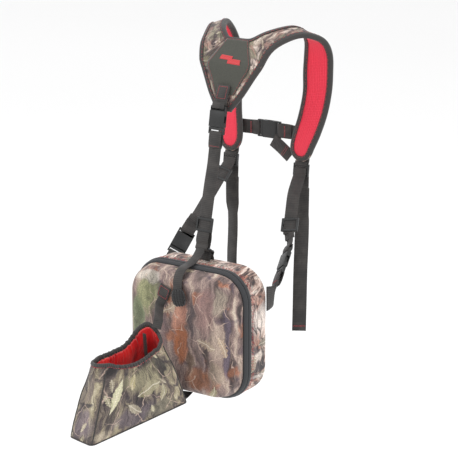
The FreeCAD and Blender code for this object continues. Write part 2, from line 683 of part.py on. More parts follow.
def make_boot():
    """Boot pocket: tapered wall, lining, base, piping and elastic mouth binding."""
    boot_layer("boot_shell", "0", "boot_wall")
    boot_layer("boot_lining", "boot_wall + cloth_gap", "boot_wall + cloth_gap + boot_lining_wall")
    inset = "boot_wall + 1.6"
    boot_ring("boot_binding", "boot_tall + cloth_gap", "mouth_length - 2 * (%s)" % inset,
              "mouth_width - 2 * (%s)" % inset, "mouth_corner - (%s)" % inset, "binding_wall",
              "binding_height", "mouth_shift", "mouth_tilt")
    base = boot_body("boot_base")
    floor = outline(base, "boot_floor", "XY_Plane", "-cloth_gap", "boot_length", "boot_width", "boot_corner")
    pad(base, "boot_floor_block", floor, "base_thick", True)
    label(base, "boot_base", boot_placement())
    boot_ring("boot_piping", "-base_thick - cloth_gap", "boot_length + 0.4", "boot_width + 0.4",
              "boot_corner + 0.2", "piping", "piping")


def plate(name, wide, tall, corner, thick, placement):
    """Flat piece with rounded corners that lies on the lid and grows towards -Y."""
    body = doc.addObject("PartDesign::Body", name)
    face = outline(body, name + "_face", "XZ_Plane", "0", wide, tall, corner)
    pad(body, name + "_block", face, thick)
    return label(body, name, placement)


def make_lid_straps():
    """Strap from the ring over the lid, its keeper and roll, and the boot's two ties."""
    front = -(size("rear_depth") + 2 * size("tape_depth") + size("coil_gap") + size("lid_depth"))
    top = size("pack_height") / 2
    wide = size("web_width")
    thick = size("lid_strap_thick")
    clear = 0.9 + thick / 2
    bend = size("lid_round")
    around = bend + clear
    points = [(1, -47, top + 14), (0, -58, top + 7), (-1, -70, top + clear + 0.8)]
    for step in range(6):
        turn = math.radians(18 * step)
        points.append((0.6 * step - 1, front + bend - around * math.sin(turn), top - bend + around * math.cos(turn)))
    points.append((2, front - clear, top - 27))
    label(feature("lid_strap_solid", strap(points, wide * 0.72, thick)), "lid_strap")
    plate("strap_keeper", "keeper_width", "keeper_length", "3", "keeper_thick",
          Placement(Vector(-26, front - 0.4, top - 41), Rotation(Vector(0, 1, 0), 20)))
    plate("strap_roll", "roll_length", "roll_width", "3", "roll_thick",
          Placement(Vector(6, front - 0.4, top - 45), Rotation(Vector(0, 1, 0), -12)))
    place = boot_placement()
    mouth_end = size("mouth_length") / 2 + size("mouth_shift") - size("boot_wall")
    lip = local(place, (mouth_end + 7.5, -2, size("boot_tall") + 14))
    hanger = [(-29, front - 5.2, top - 44), (-28, front - 10, top - 56), (lip[0] - 3, lip[1] + 8, lip[2] + 9), lip]
    label(feature("hanger_solid", strap(hanger, wide * 0.72, 2, (0.92, 0.1, -0.4))), "boot_hanger")
    corner = local(place, (size("boot_length") / 2 + 7, 0, 4))
    anchor = [(-8, -70, -top - 3), (-5, -88, -top - 6), (2, front - 6, -top - 1), corner]
    label(feature("anchor_solid", strap(anchor, wide, 2)), "boot_anchor")


# ---------------------------------------------------------------- build and write
def main():
    """Build every sub-part, check it and write its file."""
    make_pack()
    make_zipper_parts()
    make_padding()
    make_centre_line()
    make_chest_line()
    make_side_line("right", 1)
    make_side_line("left", -1)
    make_glides()
    make_ring()
    make_boot()
    make_lid_straps()
    doc.recompute()
    for obj in doc.Objects:
        if "Invalid" in obj.State or "Error" in obj.State:
            raise ValueError("%s failed: %s" % (obj.Name, obj.State))
    for obj in finished:
        if obj.Shape.isNull() or not obj.Shape.isValid() or not obj.Shape.Solids:
            raise ValueError(obj.Label + " is not a valid solid")
    os.makedirs("parts", exist_ok=True)
    for obj in finished:
        obj.Shape.exportStep("parts/%s.step" % obj.Label)
        print("%-26s solids %d volume %.0f" % (obj.Label, len(obj.Shape.Solids), obj.Shape.Volume))
    print(len(finished), "sub-parts")


main()
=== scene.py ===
import math
import random

import bmesh
import bpy
from mathutils import Matrix, Vector, noise
from mathutils.kdtree import KDTree


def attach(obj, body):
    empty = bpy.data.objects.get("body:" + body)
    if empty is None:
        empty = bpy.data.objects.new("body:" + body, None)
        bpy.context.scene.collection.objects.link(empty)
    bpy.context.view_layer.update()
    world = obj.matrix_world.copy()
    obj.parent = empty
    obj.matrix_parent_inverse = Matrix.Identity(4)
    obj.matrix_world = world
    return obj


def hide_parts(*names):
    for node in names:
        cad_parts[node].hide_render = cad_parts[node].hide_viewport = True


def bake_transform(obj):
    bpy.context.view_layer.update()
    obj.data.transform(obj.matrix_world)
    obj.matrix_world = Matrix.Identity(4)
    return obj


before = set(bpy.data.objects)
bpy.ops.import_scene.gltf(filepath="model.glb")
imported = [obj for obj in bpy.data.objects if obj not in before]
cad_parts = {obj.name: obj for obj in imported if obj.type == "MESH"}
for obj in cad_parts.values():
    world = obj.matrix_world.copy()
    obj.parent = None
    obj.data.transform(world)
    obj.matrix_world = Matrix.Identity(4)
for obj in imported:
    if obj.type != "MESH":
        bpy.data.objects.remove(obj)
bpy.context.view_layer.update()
random.seed(7)

# ------------------------------------------------------------------ studio
# A pale paper sweep under the harness, two big soft boxes and a bright even room.
# The camera stands high on the right-hand front corner with a long lens.


def colour(text):
    """Linear colour of an sRGB hex value."""
    parts = [int(text[i:i + 2], 16) / 255 for i in (1, 3, 5)]
    return [p / 12.92 if p <= 0.04045 else ((p + 0.055) / 1.055) ** 2.4 for p in parts] + [1]


def node(material, kind, sockets=(), ramp=(), **settings):
    """Add one shader node: settings, colour stops, and sockets set from values or linked from nodes."""
    made = material.node_tree.nodes.new("ShaderNode" + kind)
    for name, value in settings.items():
        setattr(made, name, value)
    for number, (place, tone) in enumerate([ramp[0], ramp[-1], *ramp[1:-1]] if ramp else ()):
        stops = made.color_ramp.elements
        stop = stops[number] if number < 2 else stops.new(place)
        stop.position = place
        stop.color = colour(tone)
    for key, value in dict(sockets).items():
        if isinstance(value, bpy.types.Node):
            value = (value, 2 if getattr(value, "data_type", "") == "RGBA" else 0)
        if isinstance(value, tuple) and isinstance(value[0], bpy.types.Node):
            material.node_tree.links.new(value[0].outputs[value[1]], made.inputs[key])
        else:
            made.inputs[key].default_value = value
    return made


def finish_named(name, **shader):
    """New material with the values that are the same all over its surface."""
    material = bpy.data.materials.new(name)
    material.use_nodes = True
    surface = material.node_tree.nodes["Principled BSDF"]
    for key, value in shader.items():
        surface.inputs[key.replace("_", " ")].default_value = value
    return material, surface


def link(material, source, target, name):
    """Join a node's output to a named socket of the surface."""
    index = 2 if getattr(source, "data_type", "") == "RGBA" else 0
    material.node_tree.links.new(source.outputs[index], target.inputs[name])


def toned(material, surface, pattern, stops, strength=0, depth=0):
    """Colour a surface by a pattern, and raise it by the same pattern where a depth in metres is given."""
    link(material, node(material, "ValToRGB", {0: pattern}, ramp=stops), surface, "Base Color")
    if depth:
        raised = node(material, "Bump", {"Strength": strength, "Distance": depth, "Height": pattern})
        link(material, raised, surface, "Normal")


world = bpy.data.worlds.new("studio_room")
world.use_nodes = True
world.node_tree.nodes["Background"].inputs["Color"].default_value = colour("#fbfbfc")
world.node_tree.nodes["Background"].inputs["Strength"].default_value = 1.06
bpy.context.scene.world = world
bpy.context.scene.view_settings.view_transform = "Standard"

paper, paper_surface = finish_named("matt_studio_paper", Roughness=0.9)
grain = node(paper, "TexNoise", {"Scale": 3.0, "Detail": 2.0})
toned(paper, paper_surface, grain, [(0.3, "#f4f4f3"), (0.7, "#f9f9f8")])
sweep = bmesh.new()
bmesh.ops.create_grid(sweep, x_segments=2, y_segments=2, size=7)
bmesh.ops.translate(sweep, verts=sweep.verts, vec=(0, 0, -0.34))
floor_mesh = bpy.data.meshes.new("floor")
sweep.to_mesh(floor_mesh)
floor = bpy.data.objects.new("floor", floor_mesh)
floor.data.materials.append(paper)
bpy.context.scene.collection.objects.link(floor)

for name, place, wide, power in (("front_box", (-1.6, -2.4, 2.2), 1.8, 20),
                                 ("side_box", (2.6, -1.2, 1.4), 1.5, 10),
                                 ("top_box", (0.2, 0.9, 2.6), 2.0, 16)):
    lamp = bpy.data.lights.new(name, "AREA")
    lamp.size = wide
    lamp.energy = power
    light = bpy.data.objects.new(name, lamp)
    light.location = place
    light.rotation_euler = (Vector((0, 0, 0.15)) - Vector(place)).to_track_quat("-Z", "Y").to_euler()
    bpy.context.scene.collection.objects.link(light)

DISTANCE = 3.3
aim = Vector((0.022, 0.016, 0.162))
around, above = math.radians(35), math.radians(15)
look = Vector((-math.sin(around) * math.cos(above), math.cos(around) * math.cos(above), -math.sin(above)))
camera = bpy.data.objects.new("camera", bpy.data.cameras.new("camera"))
camera.data.lens = 150.8
camera.location = aim - look * DISTANCE
camera.rotation_euler = look.to_track_quat("-Z", "Y").to_euler()
bpy.context.scene.collection.objects.link(camera)
bpy.context.scene.camera = camera

# ------------------------------------------------------------------ moulded lid
# The lid is foam board heat-moulded between a printed polyester face and a knitted
# lining.  Its front has a sunken valley between two raised fields, and a long crease.

FRONT, PARTING = -104.9, -69.9
LID_DEPTH, LID_BEND = 35, 24
WIDE, TALL, CORNER = 230, 224, 52


def lay(across, along, at, cloth):
    """Skin laid over a shape: a grid whose points go where at(u, v) says, with its cloth map in metres."""
    bm = bmesh.new()
    layer = bm.loops.layers.uv.new("cloth")
    bmesh.ops.create_grid(bm, x_segments=across, y_segments=along, size=0.5)
    for face in bm.faces:
        for corner in face.loops:
            x, y = cloth(corner.vert.co.x + 0.5, corner.vert.co.y + 0.5)
            corner[layer].uv = (x / 1000, y / 1000)
    for vert in bm.verts:
        vert.co = at(round(vert.co.x + 0.5, 6), round(vert.co.y + 0.5, 6))
    bmesh.ops.remove_doubles(bm, verts=bm.verts, dist=0.002)
    return bm


def make(bm, name, material, body, nodes=(), wall=0, rounds=0, sharp=50):
    """Finished piece from a mesh in millimetres, on its body, with an optional wall and smoothing."""
    bmesh.ops.scale(bm, verts=bm.verts, vec=(0.001, 0.001, 0.001))
    mesh = bpy.data.meshes.new(name)
    bm.to_mesh(mesh)
    bm.free()
    mesh.shade_smooth()
    mesh.set_sharp_from_angle(angle=math.radians(sharp))
    piece = bpy.data.objects.new(name, mesh)
    bpy.context.scene.collection.objects.link(piece)
    mesh.materials.append(material)
    if wall:
        solid = piece.modifiers.new("wall", "SOLIDIFY")
        solid.thickness = wall / 1000
        solid.offset = -1
    if rounds:
        soft = piece.modifiers.new("rounds", "SUBSURF")
        soft.levels = rounds
        soft.render_levels = rounds
    if body:
        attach(piece, body)
    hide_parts(*nodes)
    return piece


def cloth_map(material):
    """Place on the cloth in millimetres, from the piece's own map."""
    spots = node(material, "UVMap", uv_map="cloth")
    return node(material, "VectorMath", {0: spots, "Scale": 1000.0}, operation="SCALE")


def leaf_mask(material, leaf, slim, notch=0.28):
    """Coverage and midrib of one leaf, drawn along X in units of its own length, with lobes of a given depth."""
    bow = node(material, "Math", {0: leaf, 1: 2.0}, operation="MULTIPLY")
    blade = node(material, "Math",
                 {0: node(material, "Math", {0: bow, 1: bow}, operation="MULTIPLY"), 1: -1.0,
                                    2: 1.0}, operation="MULTIPLY_ADD")
    lobes = node(material, "Math", {0: node(material, "Math", {0: leaf, 1: 44.0}, operation="MULTIPLY")},
                 operation="SINE")
    lobed = node(material, "Math", {0: lobes, 1: slim * notch, 2: slim}, operation="MULTIPLY_ADD")
    half = node(material, "Math", {0: blade, 1: lobed}, operation="MULTIPLY")
    off = node(material, "Math", {0: (leaf, 1)}, operation="ABSOLUTE")
    inside = node(material, "MapRange", {0: node(material, "Math", {0: half, 1: off}, operation="SUBTRACT"),
                                         1: 0.0, 2: 0.03})
    rib = node(material, "MapRange", {0: off, 1: 0.006, 2: 0.022, 3: 0.6, 4: 0.0})
    return inside, rib


def camo(name, ground, patches, leaves, bark=1.0, twigs=0.6, fields=(), blades=(), grain=13):
    """Printed polyester: soft bark streaks, blurred colour fields, oak leaves and twigs over a fine weave.

    ground holds the colour stops of the bark, patches (colour, size mm, share, x, y) and leaves
    (size mm, share, x, y, colour stops); fields (x, y, half width, half height, colour) and blades
    (x, y, degrees, length, width, colour) are set one by one.
    """
    material, surface = finish_named(name, Roughness=0.78, Sheen_Weight=0.12, Sheen_Roughness=0.5)
    place = cloth_map(material)
    drift = node(material, "TexNoise", {0: place, "Scale": 1 / 34, "Detail": 2.0}, noise_dimensions="2D")
    centred = node(material, "VectorMath", {0: (drift, 1), 1: (0.5, 0.5, 0.5)}, operation="SUBTRACT")
    pushed = node(material, "VectorMath", {0: centred, "Scale": 26.0}, operation="SCALE")
    bent = node(material, "VectorMath", {0: place, 1: pushed})
    upright = node(material, "VectorMath", {0: bent, 1: (1, 0.2, 1)}, operation="MULTIPLY")
    streak = node(material, "TexNoise", {0: upright, "Scale": 1 / grain, "Detail": 5.0, "Roughness": 0.62},
                  noise_dimensions="2D")
    tone = node(material, "ValToRGB", {0: streak}, ramp=ground)
    for shade, size, share, x, y in patches:
        spot = node(material, "VectorMath", {0: bent, 1: (x, y, 0)})
        cloud = node(material, "TexNoise", {0: spot, "Scale": 1 / size, "Detail": 2.5}, noise_dimensions="2D")
        amount = node(material, "MapRange", {0: cloud, 1: 0.62 - share, 2: 0.76 - share, 4: 0.85},
                      interpolation_type="SMOOTHSTEP")
        tone = node(material, "Mix", {0: amount, 6: tone, 7: colour(shade)}, data_type="RGBA")
    for x, y, wide, tall, shade in fields:
        away = node(material, "VectorMath", {0: bent, 1: (x, y, 0)}, operation="SUBTRACT")
        sized = node(material, "VectorMath", {0: away, 1: (1 / wide, 1 / tall, 0)}, operation="MULTIPLY")
        reach = node(material, "Math", {0: (node(material, "VectorMath", {0: sized}, operation="LENGTH"), 1),
                                        1: node(material, "Math", {0: streak, 1: 0.9}, operation="MULTIPLY")})
        amount = node(material, "MapRange", {0: reach, 1: 1.5, 2: 1.0, 4: 0.8},
                      interpolation_type="SMOOTHSTEP")
        tone = node(material, "Mix", {0: amount, 6: tone, 7: colour(shade)}, data_type="RGBA")
    grained = node(material, "MapRange", {0: streak, 1: 0.34, 2: 0.66, 3: 0.56, 4: 1.2})
    tone = node(material, "HueSaturation", {"Color": tone, "Value": grained, "Saturation": 1.0})
    ridge = node(material, "TexVoronoi", {0: upright, "Scale": 1 / 8}, voronoi_dimensions="2D",
                 feature="DISTANCE_TO_EDGE")
    crack = node(material, "MapRange", {0: ridge, 1: 0.02, 2: 0.12, 3: 1.0, 4: 0.0})
    where = node(material, "TexNoise", {0: node(material, "VectorMath", {0: place, 1: (310, 90, 0)}),
                                        "Scale": 1 / 42, "Detail": 2.0}, noise_dimensions="2D")
    there = node(material, "MapRange", {0: where, 1: 0.46, 2: 0.58, 4: bark * 0.7})
    cracked = node(material, "Math", {0: crack, 1: there}, operation="MULTIPLY")
    tone = node(material, "Mix", {0: cracked, 6: tone, 7: colour("#3b3133")}, data_type="RGBA")
    doubled = node(material, "VectorMath", {0: bent, 1: place})
    halfway = node(material, "VectorMath", {0: doubled, "Scale": 0.5}, operation="SCALE")
    for size, share, x, y, shades in leaves:
        sized = node(material, "VectorMath", {0: halfway, "Scale": 1 / size}, operation="SCALE")
        spot = node(material, "VectorMath", {0: sized, 1: (x, y, 0)})
        cell = node(material, "TexVoronoi", {0: spot, "Scale": 1.0, "Randomness": 0.8},
                    voronoi_dimensions="2D")
        away = node(material, "VectorMath", {0: spot, 1: (cell, 2)}, operation="SUBTRACT")
        dice = node(material, "SeparateColor", {0: (cell, 1)})
        turn = node(material, "Math", {0: dice, 1: 6.28}, operation="MULTIPLY")
        leaf = node(material, "SeparateXYZ", {0: node(material, "VectorRotate", {0: away, "Angle": turn},
                                                      rotation_type="Z_AXIS")})
        inside, rib = leaf_mask(material, leaf, 0.17)
        chosen = node(material, "Math", {0: (dice, 1), 1: share}, operation="LESS_THAN")
        drawn = node(material, "Math", {0: inside, 1: chosen}, operation="MULTIPLY")
        shade = node(material, "ValToRGB", {0: (dice, 2)}, ramp=shades)
        mottled = node(material, "Mix", {0: 0.45, 6: shade, 7: node(material, "ValToRGB", {0: streak}, ramp=[
            (0.35, "#4a433c"), (0.62, "#cfc3ad")])}, data_type="RGBA")
        veined = node(material, "Mix", {0: rib, 6: mottled, 7: colour("#efe4cf")}, data_type="RGBA")
        tone = node(material, "Mix", {0: drawn, 6: tone, 7: veined}, data_type="RGBA")
    for x, y, degrees, length, wide, shade in blades:
        away = node(material, "VectorMath", {0: halfway, 1: (x, y, 0)}, operation="SUBTRACT")
        turned = node(material, "VectorRotate", {0: away, "Angle": -math.radians(degrees)},
                      rotation_type="Z_AXIS")
        leaf = node(material, "SeparateXYZ",
                    {0: node(material, "VectorMath", {0: turned, "Scale": 1 / length},
                                                      operation="SCALE")})
        inside, rib = leaf_mask(material, leaf, wide / length / 2, 0.08)
        mottled = node(material, "Mix",
                       {0: 0.3, 6: colour(shade), 7: node(material, "ValToRGB", {0: streak}, ramp=[
            (0.35, "#5a5347"), (0.62, "#ded4bd")])}, data_type="RGBA")
        veined = node(material, "Mix", {0: rib, 6: mottled, 7: colour("#f3ead8")}, data_type="RGBA")
        tone = node(material, "Mix", {0: inside, 6: tone, 7: veined}, data_type="RGBA")
    branch = node(material, "TexVoronoi", {0: bent, "Scale": 1 / 47}, voronoi_dimensions="2D",
                  feature="DISTANCE_TO_EDGE")
    twig = node(material, "MapRange", {0: branch, 1: 0.008, 2: 0.022, 3: twigs, 4: 0.0})
    patchy = node(material, "MapRange", {0: (drift, 0), 1: 0.42, 2: 0.56})
    shown = node(material, "Math", {0: twig, 1: patchy}, operation="MULTIPLY")
    tone = node(material, "Mix", {0: shown, 6: tone, 7: colour("#cdb4a4")}, data_type="RGBA")
    speck = node(material, "TexNoise", {0: place, "Scale": 1 / 2.2, "Detail": 3.0, "Roughness": 0.7},
                 noise_dimensions="2D")
    value = node(material, "MapRange", {0: speck, 1: 0.3, 2: 0.7, 3: 0.6, 4: 1.22})
    printed = node(material, "HueSaturation", {"Color": tone, "Value": value, "Saturation": 1.0})
    link(material, printed, surface, "Base Color")
    # The weave is drawn at 1 mm, about twice as coarse as it is, so that it shows.
    weft = node(material, "TexWave", {0: place, "Scale": 0.32}, bands_direction="X")
    warp = node(material, "TexWave", {0: place, "Scale": 0.32}, bands_direction="Y")
    weave = node(material, "Math", {0: weft, 1: warp}, operation="MULTIPLY")
    bump = node(material, "Bump", {"Strength": 0.25, "Distance": 0.0003, "Height": weave})
    link(material, bump, surface, "Normal")
    return material


def rim(t, wide, tall, corner):
    """Point and outward direction on a rounded rectangle, t going once round it from the right side upwards."""
    part, along = divmod((t % 1) * 8, 1)
    half_x, half_z = wide / 2 - corner, tall / 2 - corner
    turn = math.radians(90 * (part // 2 + (along if part % 2 else 0)))
    out = Vector((math.cos(turn), 0, math.sin(turn)))
    ends = [(half_x, -half_z), (half_x, half_z), (-half_x, half_z), (-half_x, -half_z), (half_x, -half_z)]
    side = int(part // 2)
    here = ends[side + 1] if part % 2 else [a + (b - a) * along for a, b in zip(ends[side], ends[side + 1])]
    return Vector((here[0], 0, here[1])) + out * corner, out


def tray_rim(t, inset):
    """Point and outward direction on the pack's outline at an inset from its edge."""
    return rim(t, WIDE - 2 * inset, TALL - 2 * inset, max(CORNER - inset, 0.42 * (TALL / 2 - inset)))


def smooth(low, high, value):
    """Smooth step from 0 to 1."""
    part = min(1, max(0, (value - low) / (high - low)))
    return part * part * (3 - 2 * part)


def relief(x, z):
    """How far the lid's face stands out at a point: a valley, two raised fields and a crease."""
    middle = 6 + 0.13 * (70 - z)
    valley = smooth(30, 12, abs(x - middle)) * smooth(-104, -60, z) * smooth(104, 76, z)
    raised = smooth(36, 60, x) * smooth(98, 74, x) * smooth(-92, -66, z) * smooth(92, 62, z)
    low_left = smooth(-14, -34, x) * smooth(-98, -76, x) * smooth(-92, -66, z) * smooth(22, -8, z)
    line = (x - 40) * 0.45 + (z + 72)
    crease = smooth(6, 0, abs(line)) * smooth(22, 40, x) * smooth(98, 80, x)
    ripple = noise.noise(Vector((x, z, 3)) * 0.045) * 0.9 * smooth(112, 80, max(abs(x), abs(z)))
    return -3.2 * valley + 2.2 * raised + 1.6 * low_left - 2.2 * crease + ripple


def tray_rows(depth, bend, rise):
    """Insets and depths of a tray from its open rim over the bend to the middle of its face."""
    rows = [(0, 0), (0, (depth - bend) * 0.5), (0, depth - bend)]
    rows += [(bend * (1 - math.cos(a)), depth - bend + bend * math.sin(a))
             for a in (math.radians(90 * step / 8) for step in range(1, 9))]
    return rows + [(bend + (112 - bend) * step / rise, depth) for step in range(1, rise + 1)]


LID_ROWS = [(inset + (3.2 + 3 * min(1, depth / 11)) * (1 - inset / 112), depth)
            for inset, depth in tray_rows(LID_DEPTH, LID_BEND, 18)]


def lid_point(u, v):
    """Point on the lid's outer skin."""
    inset, depth = LID_ROWS[round(v * (len(LID_ROWS) - 1))]
    place, out = tray_rim(u, inset)
    lift = relief(place.x, place.z) * smooth(14, 26, inset)
    return Vector((place.x, PARTING - depth - lift, place.z))


def lid_cloth(u, v):
    """Cloth map of the lid: its front as it lies, its sides folded out."""
    inset, depth = LID_ROWS[round(v * (len(LID_ROWS) - 1))]
    place, out = tray_rim(u, inset)
    return (place.x + out.x * (LID_DEPTH - depth), place.z + out.z * (LID_DEPTH - depth))


lid_camo = camo("printed_polyester_on_moulded_foam",
                [(0.28, "#4b3f41"), (0.42, "#7b6863"), (0.52, "#96807a"), (0.62, "#ab978a"),
                 (0.76, "#c9bba9")],
                [("#b07356", 44, 0.04, 40, 260), ("#5c4d57", 40, 0.04, 700, 310)],
                [(46, 0.22, 3.1, 5.2, [(0.0, "#a5836d"), (0.35, "#9aa070"), (0.6, "#c2a08a"),
                                       (1.0, "#7f776a")])],
                bark=0.6, twigs=0.75,
                fields=[(-64, 60, 32, 42, "#a3a779"), (-88, 14, 20, 46, "#8f9a76"),
                        (-70, 96, 36, 16, "#d9cfc2"),
                        (-36, 0, 20, 70, "#7e6a6a"), (2, 30, 15, 46, "#b9806a"), (6, -20, 16, 38, "#b86f45"),
                        (42, -70, 32, 26, "#9a6446"), (27, 40, 7, 54, "#4d4347"), (58, 50, 26, 46, "#a0807a"),
                        (88, 70, 16, 28, "#c4b4a2"), (85, 0, 22, 36, "#b3a091"), (84, -55, 22, 28, "#a89684"),
                        (104, -10, 8, 80, "#6c6070"), (22, -44, 10, 26, "#5a4536"),
                        (-74, -60, 30, 30, "#94836c")],
                grain=24)
lid_skin = lay(96, len(LID_ROWS) - 1, lid_point, lid_cloth)
make(lid_skin, "lid_skin", lid_camo, "lid", ["lid_shell"], wall=2.4, rounds=1, sharp=80)

# ------------------------------------------------------------------ moulded rear tray
# The rear half is the same foam board under a bark print; its side wall stands straight
# up to the zipper.  A dark spacer-mesh panel is bound on the wearer's side.

REAR_ROWS = tray_rows(49, 8, 6)


def rear_point(u, v):
    """Point on the rear tray's outer skin."""
    inset, depth = REAR_ROWS[round(v * (len(REAR_ROWS) - 1))]
    place, out = tray_rim(1 - u, inset)
    swell = 1.1 * math.sin(math.pi * min(1, depth / 45)) if inset < 1 else 0
    return Vector((place.x, -52 + depth, place.z)) + out * swell


def rear_cloth(u, v):
    """Cloth map of the rear tray, folded out from the zipper."""
    inset, depth = REAR_ROWS[round(v * (len(REAR_ROWS) - 1))]
    place, out = tray_rim(1 - u, inset)
    return (place.x + 400 + out.x * (60 + depth), place.z + 400 + out.z * (60 + depth))


rear_camo = camo("bark_printed_polyester",
                 [(0.30, "#3c3637"), (0.41, "#6d5a55"), (0.5, "#a8897d"), (0.58, "#d9c2b4"),
                  (0.75, "#efe3da")],
                 [("#4a4348", 30, 0.06, 120, 40), ("#c98d75", 30, 0.08, 410, 90),
                  ("#e9dccf", 36, 0.10, 15, 230)],
                 [(40, 0.3, 1.7, 4.4, [(0.0, "#3d3b3c"), (0.5, "#5e5a52"), (1.0, "#a58a7b")])], bark=1.3,
                 twigs=0.4,
                 fields=[(600, 425, 34, 34, "#e8dcd3"), (600, 338, 28, 18, "#45464b"),
                         (600, 305, 30, 12, "#e4dad2"),
                         (590, 475, 36, 22, "#b58c7d")])
rear_skin = lay(96, len(REAR_ROWS) - 1, rear_point, rear_cloth)
make(rear_skin, "rear_skin", rear_camo, "harness", ["pack_rear_shell"], wall=3.6, rounds=1,
     sharp=80)

mesh_cloth, surface = finish_named("black_polyester_spacer_mesh", Roughness=0.85, Sheen_Weight=0.2)
spots = (node(mesh_cloth, "TexCoord"), "Object")
cell = node(mesh_cloth, "TexVoronoi", {0: spots, "Scale": 330.0})
toned(mesh_cloth, surface, cell, [(0.1, "#17171a"), (0.6, "#3a3b3f")], 0.6, 0.0008)


def back_point(u, v):
    """Point on the back panel: three padded fields with sewn channels between them."""
    inset = 100 * (1 - v)
    place, out = rim(1 - u, 202 - 2 * (100 - inset) * 0.98, 196 - 2 * (100 - inset) * 0.98,
                     max(3, 38 - (100 - inset) * 0.4))
    channel = smooth(0, 7, abs(abs(place.z) - 32))
    edge = smooth(0, 0.12, v)
    return Vector((place.x, -1.8 + 1.8 * channel * edge, place.z))


back = lay(96, 40, back_point, lambda u, v: (600 * u, 100 * v))
make(back, "back_panel_padding", mesh_cloth, "harness", ["pack_back_panel"],
               wall=1.2,
               sharp=80)

lining, surface = finish_named("brushed_tricot_lining", Roughness=0.9, Sheen_Weight=0.3)
spots = (node(lining, "TexCoord"), "Object")
nap = node(lining, "TexNoise", {0: spots, "Scale": 900.0, "Detail": 2.0})
toned(lining, surface, nap, [(0.3, "#242427"), (0.7, "#34353a")], 0.3, 0.0005)
rear_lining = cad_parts["pack_rear_lining"].data.materials
rear_lining.clear()
rear_lining.append(lining)


def lid_inside(u, v):
    """Point on the lid's lining, a skin's thickness inside the outer cloth."""
    point = lid_point(1 - u, v)
    return Vector((point.x * 0.965, min(-70.2, point.y + 3.4), point.z * 0.965))


inside = lay(96, len(LID_ROWS) - 1, lid_inside, lambda u, v: (u, v))
make(inside, "lid_tricot", lining, "lid", ["lid_lining"], wall=0.6, rounds=1, sharp=80)

# ------------------------------------------------------------------ zipper
# Two woven tapes are sewn round the halves and folded over a reversed nylon coil, so
# only a fine groove shows between them.  Two sliders meet on the left side.

tape, surface = finish_named("woven_polyester_zip_tape", Roughness=0.7, Sheen_Weight=0.1)
ribs = node(tape, "TexWave", {0: cloth_map(tape), "Scale": 0.3, "Distortion": 0.4}, bands_direction="X")
toned(tape, surface, ribs, [(0.0, "#232427"), (1.0, "#37393c")], 0.35, 0.0004)

TAPE_ROWS = [(0.6, 0), (-1.3, 0.7), (-2.0, 2.6), (-2.1, 5.2), (-1.7, 7.6), (-0.8, 8.6), (1.4, 8.8),
             (3.4, 8.7)]


def tape_point(u, v, start, way):
    """Point on one tape: proud of the shell at its sewn edge, rolled in at the coil."""
    inset, depth = TAPE_ROWS[round(v * (len(TAPE_ROWS) - 1))]
    inset += 3.2 * (1 - depth / 8.8) if way > 0 else 0
    place, out = tray_rim(u if way < 0 else 1 - u, inset)
    return Vector((place.x, start + way * depth, place.z))


for name, start, way, body, hidden in (("tape_rear", -52, -1, "harness", "zipper_rear"),
                                       ("tape_lid", PARTING, 1, "lid", "zipper_lid")):
    strip = lay(128, len(TAPE_ROWS) - 1, lambda u, v: tape_point(u, v, start, way), lambda u,
                v: (820 * u, 12 * v))
    make(strip, name, tape, body, [hidden], wall=0.8, rounds=1, sharp=80)

nylon, surface = finish_named("black_nylon_coil", Roughness=0.4, Base_Color=colour("#26272a"))
spots = (node(nylon, "TexCoord"), "Object")
wear = node(nylon, "TexNoise", {0: spots, "Scale": 400.0})
toned(nylon, surface, wear, [(0.3, "#1c1d1f"), (0.7, "#303236")])


def coil_point(u, v, middle):
    """Point on the coil: a fine helix of nylon round the tape's inner edge."""
    place, out = rim(v, 226, 220, 50)
    swing = math.radians(360 * 300 * v)
    tube = math.radians(360 * u)
    reach = 1.0 + 0.35 * math.cos(tube) + 0.25 * math.cos(swing)
    return place + out * reach * math.cos(tube) * 0.8 + Vector((0, middle + 0.7 * math.sin(tube) * reach, 0))


for name, middle, body in (("coil_rear", -59.8, "harness"), ("coil_lid", -62.1, "lid")):
    teeth = lay(5, 1500, lambda u, v: coil_point(u, v, middle), lambda u, v: (u, v))
    bmesh.ops.recalc_face_normals(teeth, faces=teeth.faces)
    make(teeth, name, nylon, body)

# ------------------------------------------------------------------ red thread
# Every seam is sewn in heavy red polyester thread.  Each stitch is a small raised
# bead that sinks into the cloth at both ends.

thread, surface = finish_named("red_bonded_thread", Roughness=0.55, Sheen_Weight=0.2)
spots = (node(thread, "TexCoord"), "Object")
twist = node(thread, "TexNoise", {0: spots, "Scale": 1500.0})
toned(thread, surface, twist, [(0.3, "#9c2a34"), (0.7, "#cf4149")])


def sew(bm, start, end, up, pitch=4.6, length=3.2, thick=0.8):
    """Row of stitches along a straight run, lying on the cloth whose outward direction is up."""
    run = end - start
    count = max(1, round(run.length / pitch))
    along = run.normalized()
    turn = Matrix((along, up.cross(along).normalized(), up)).transposed().to_4x4()
    for number in range(count):
        place = Matrix.Translation(start + run * ((number + 0.5) / count))
        shape = place @ turn @ Matrix.Diagonal((length / 2, thick / 2, thick / 2.4, 1))
        bmesh.ops.create_icosphere(bm, subdivisions=1, radius=1, matrix=shape)


def sew_path(bm, points, ups, pitch=4.6, length=3.2, thick=0.8):
    """Stitches one by one along a list of close points."""
    travelled = 0.0
    for here, there, up in zip(points, points[1:], ups):
        travelled += (there - here).length
        if travelled >= pitch:
            travelled -= pitch
            middle = (here + there) / 2
            along = (there - here).normalized()
            sew(bm, middle - along * length / 2, middle + along * length / 2, up, length * 2, length, thick)


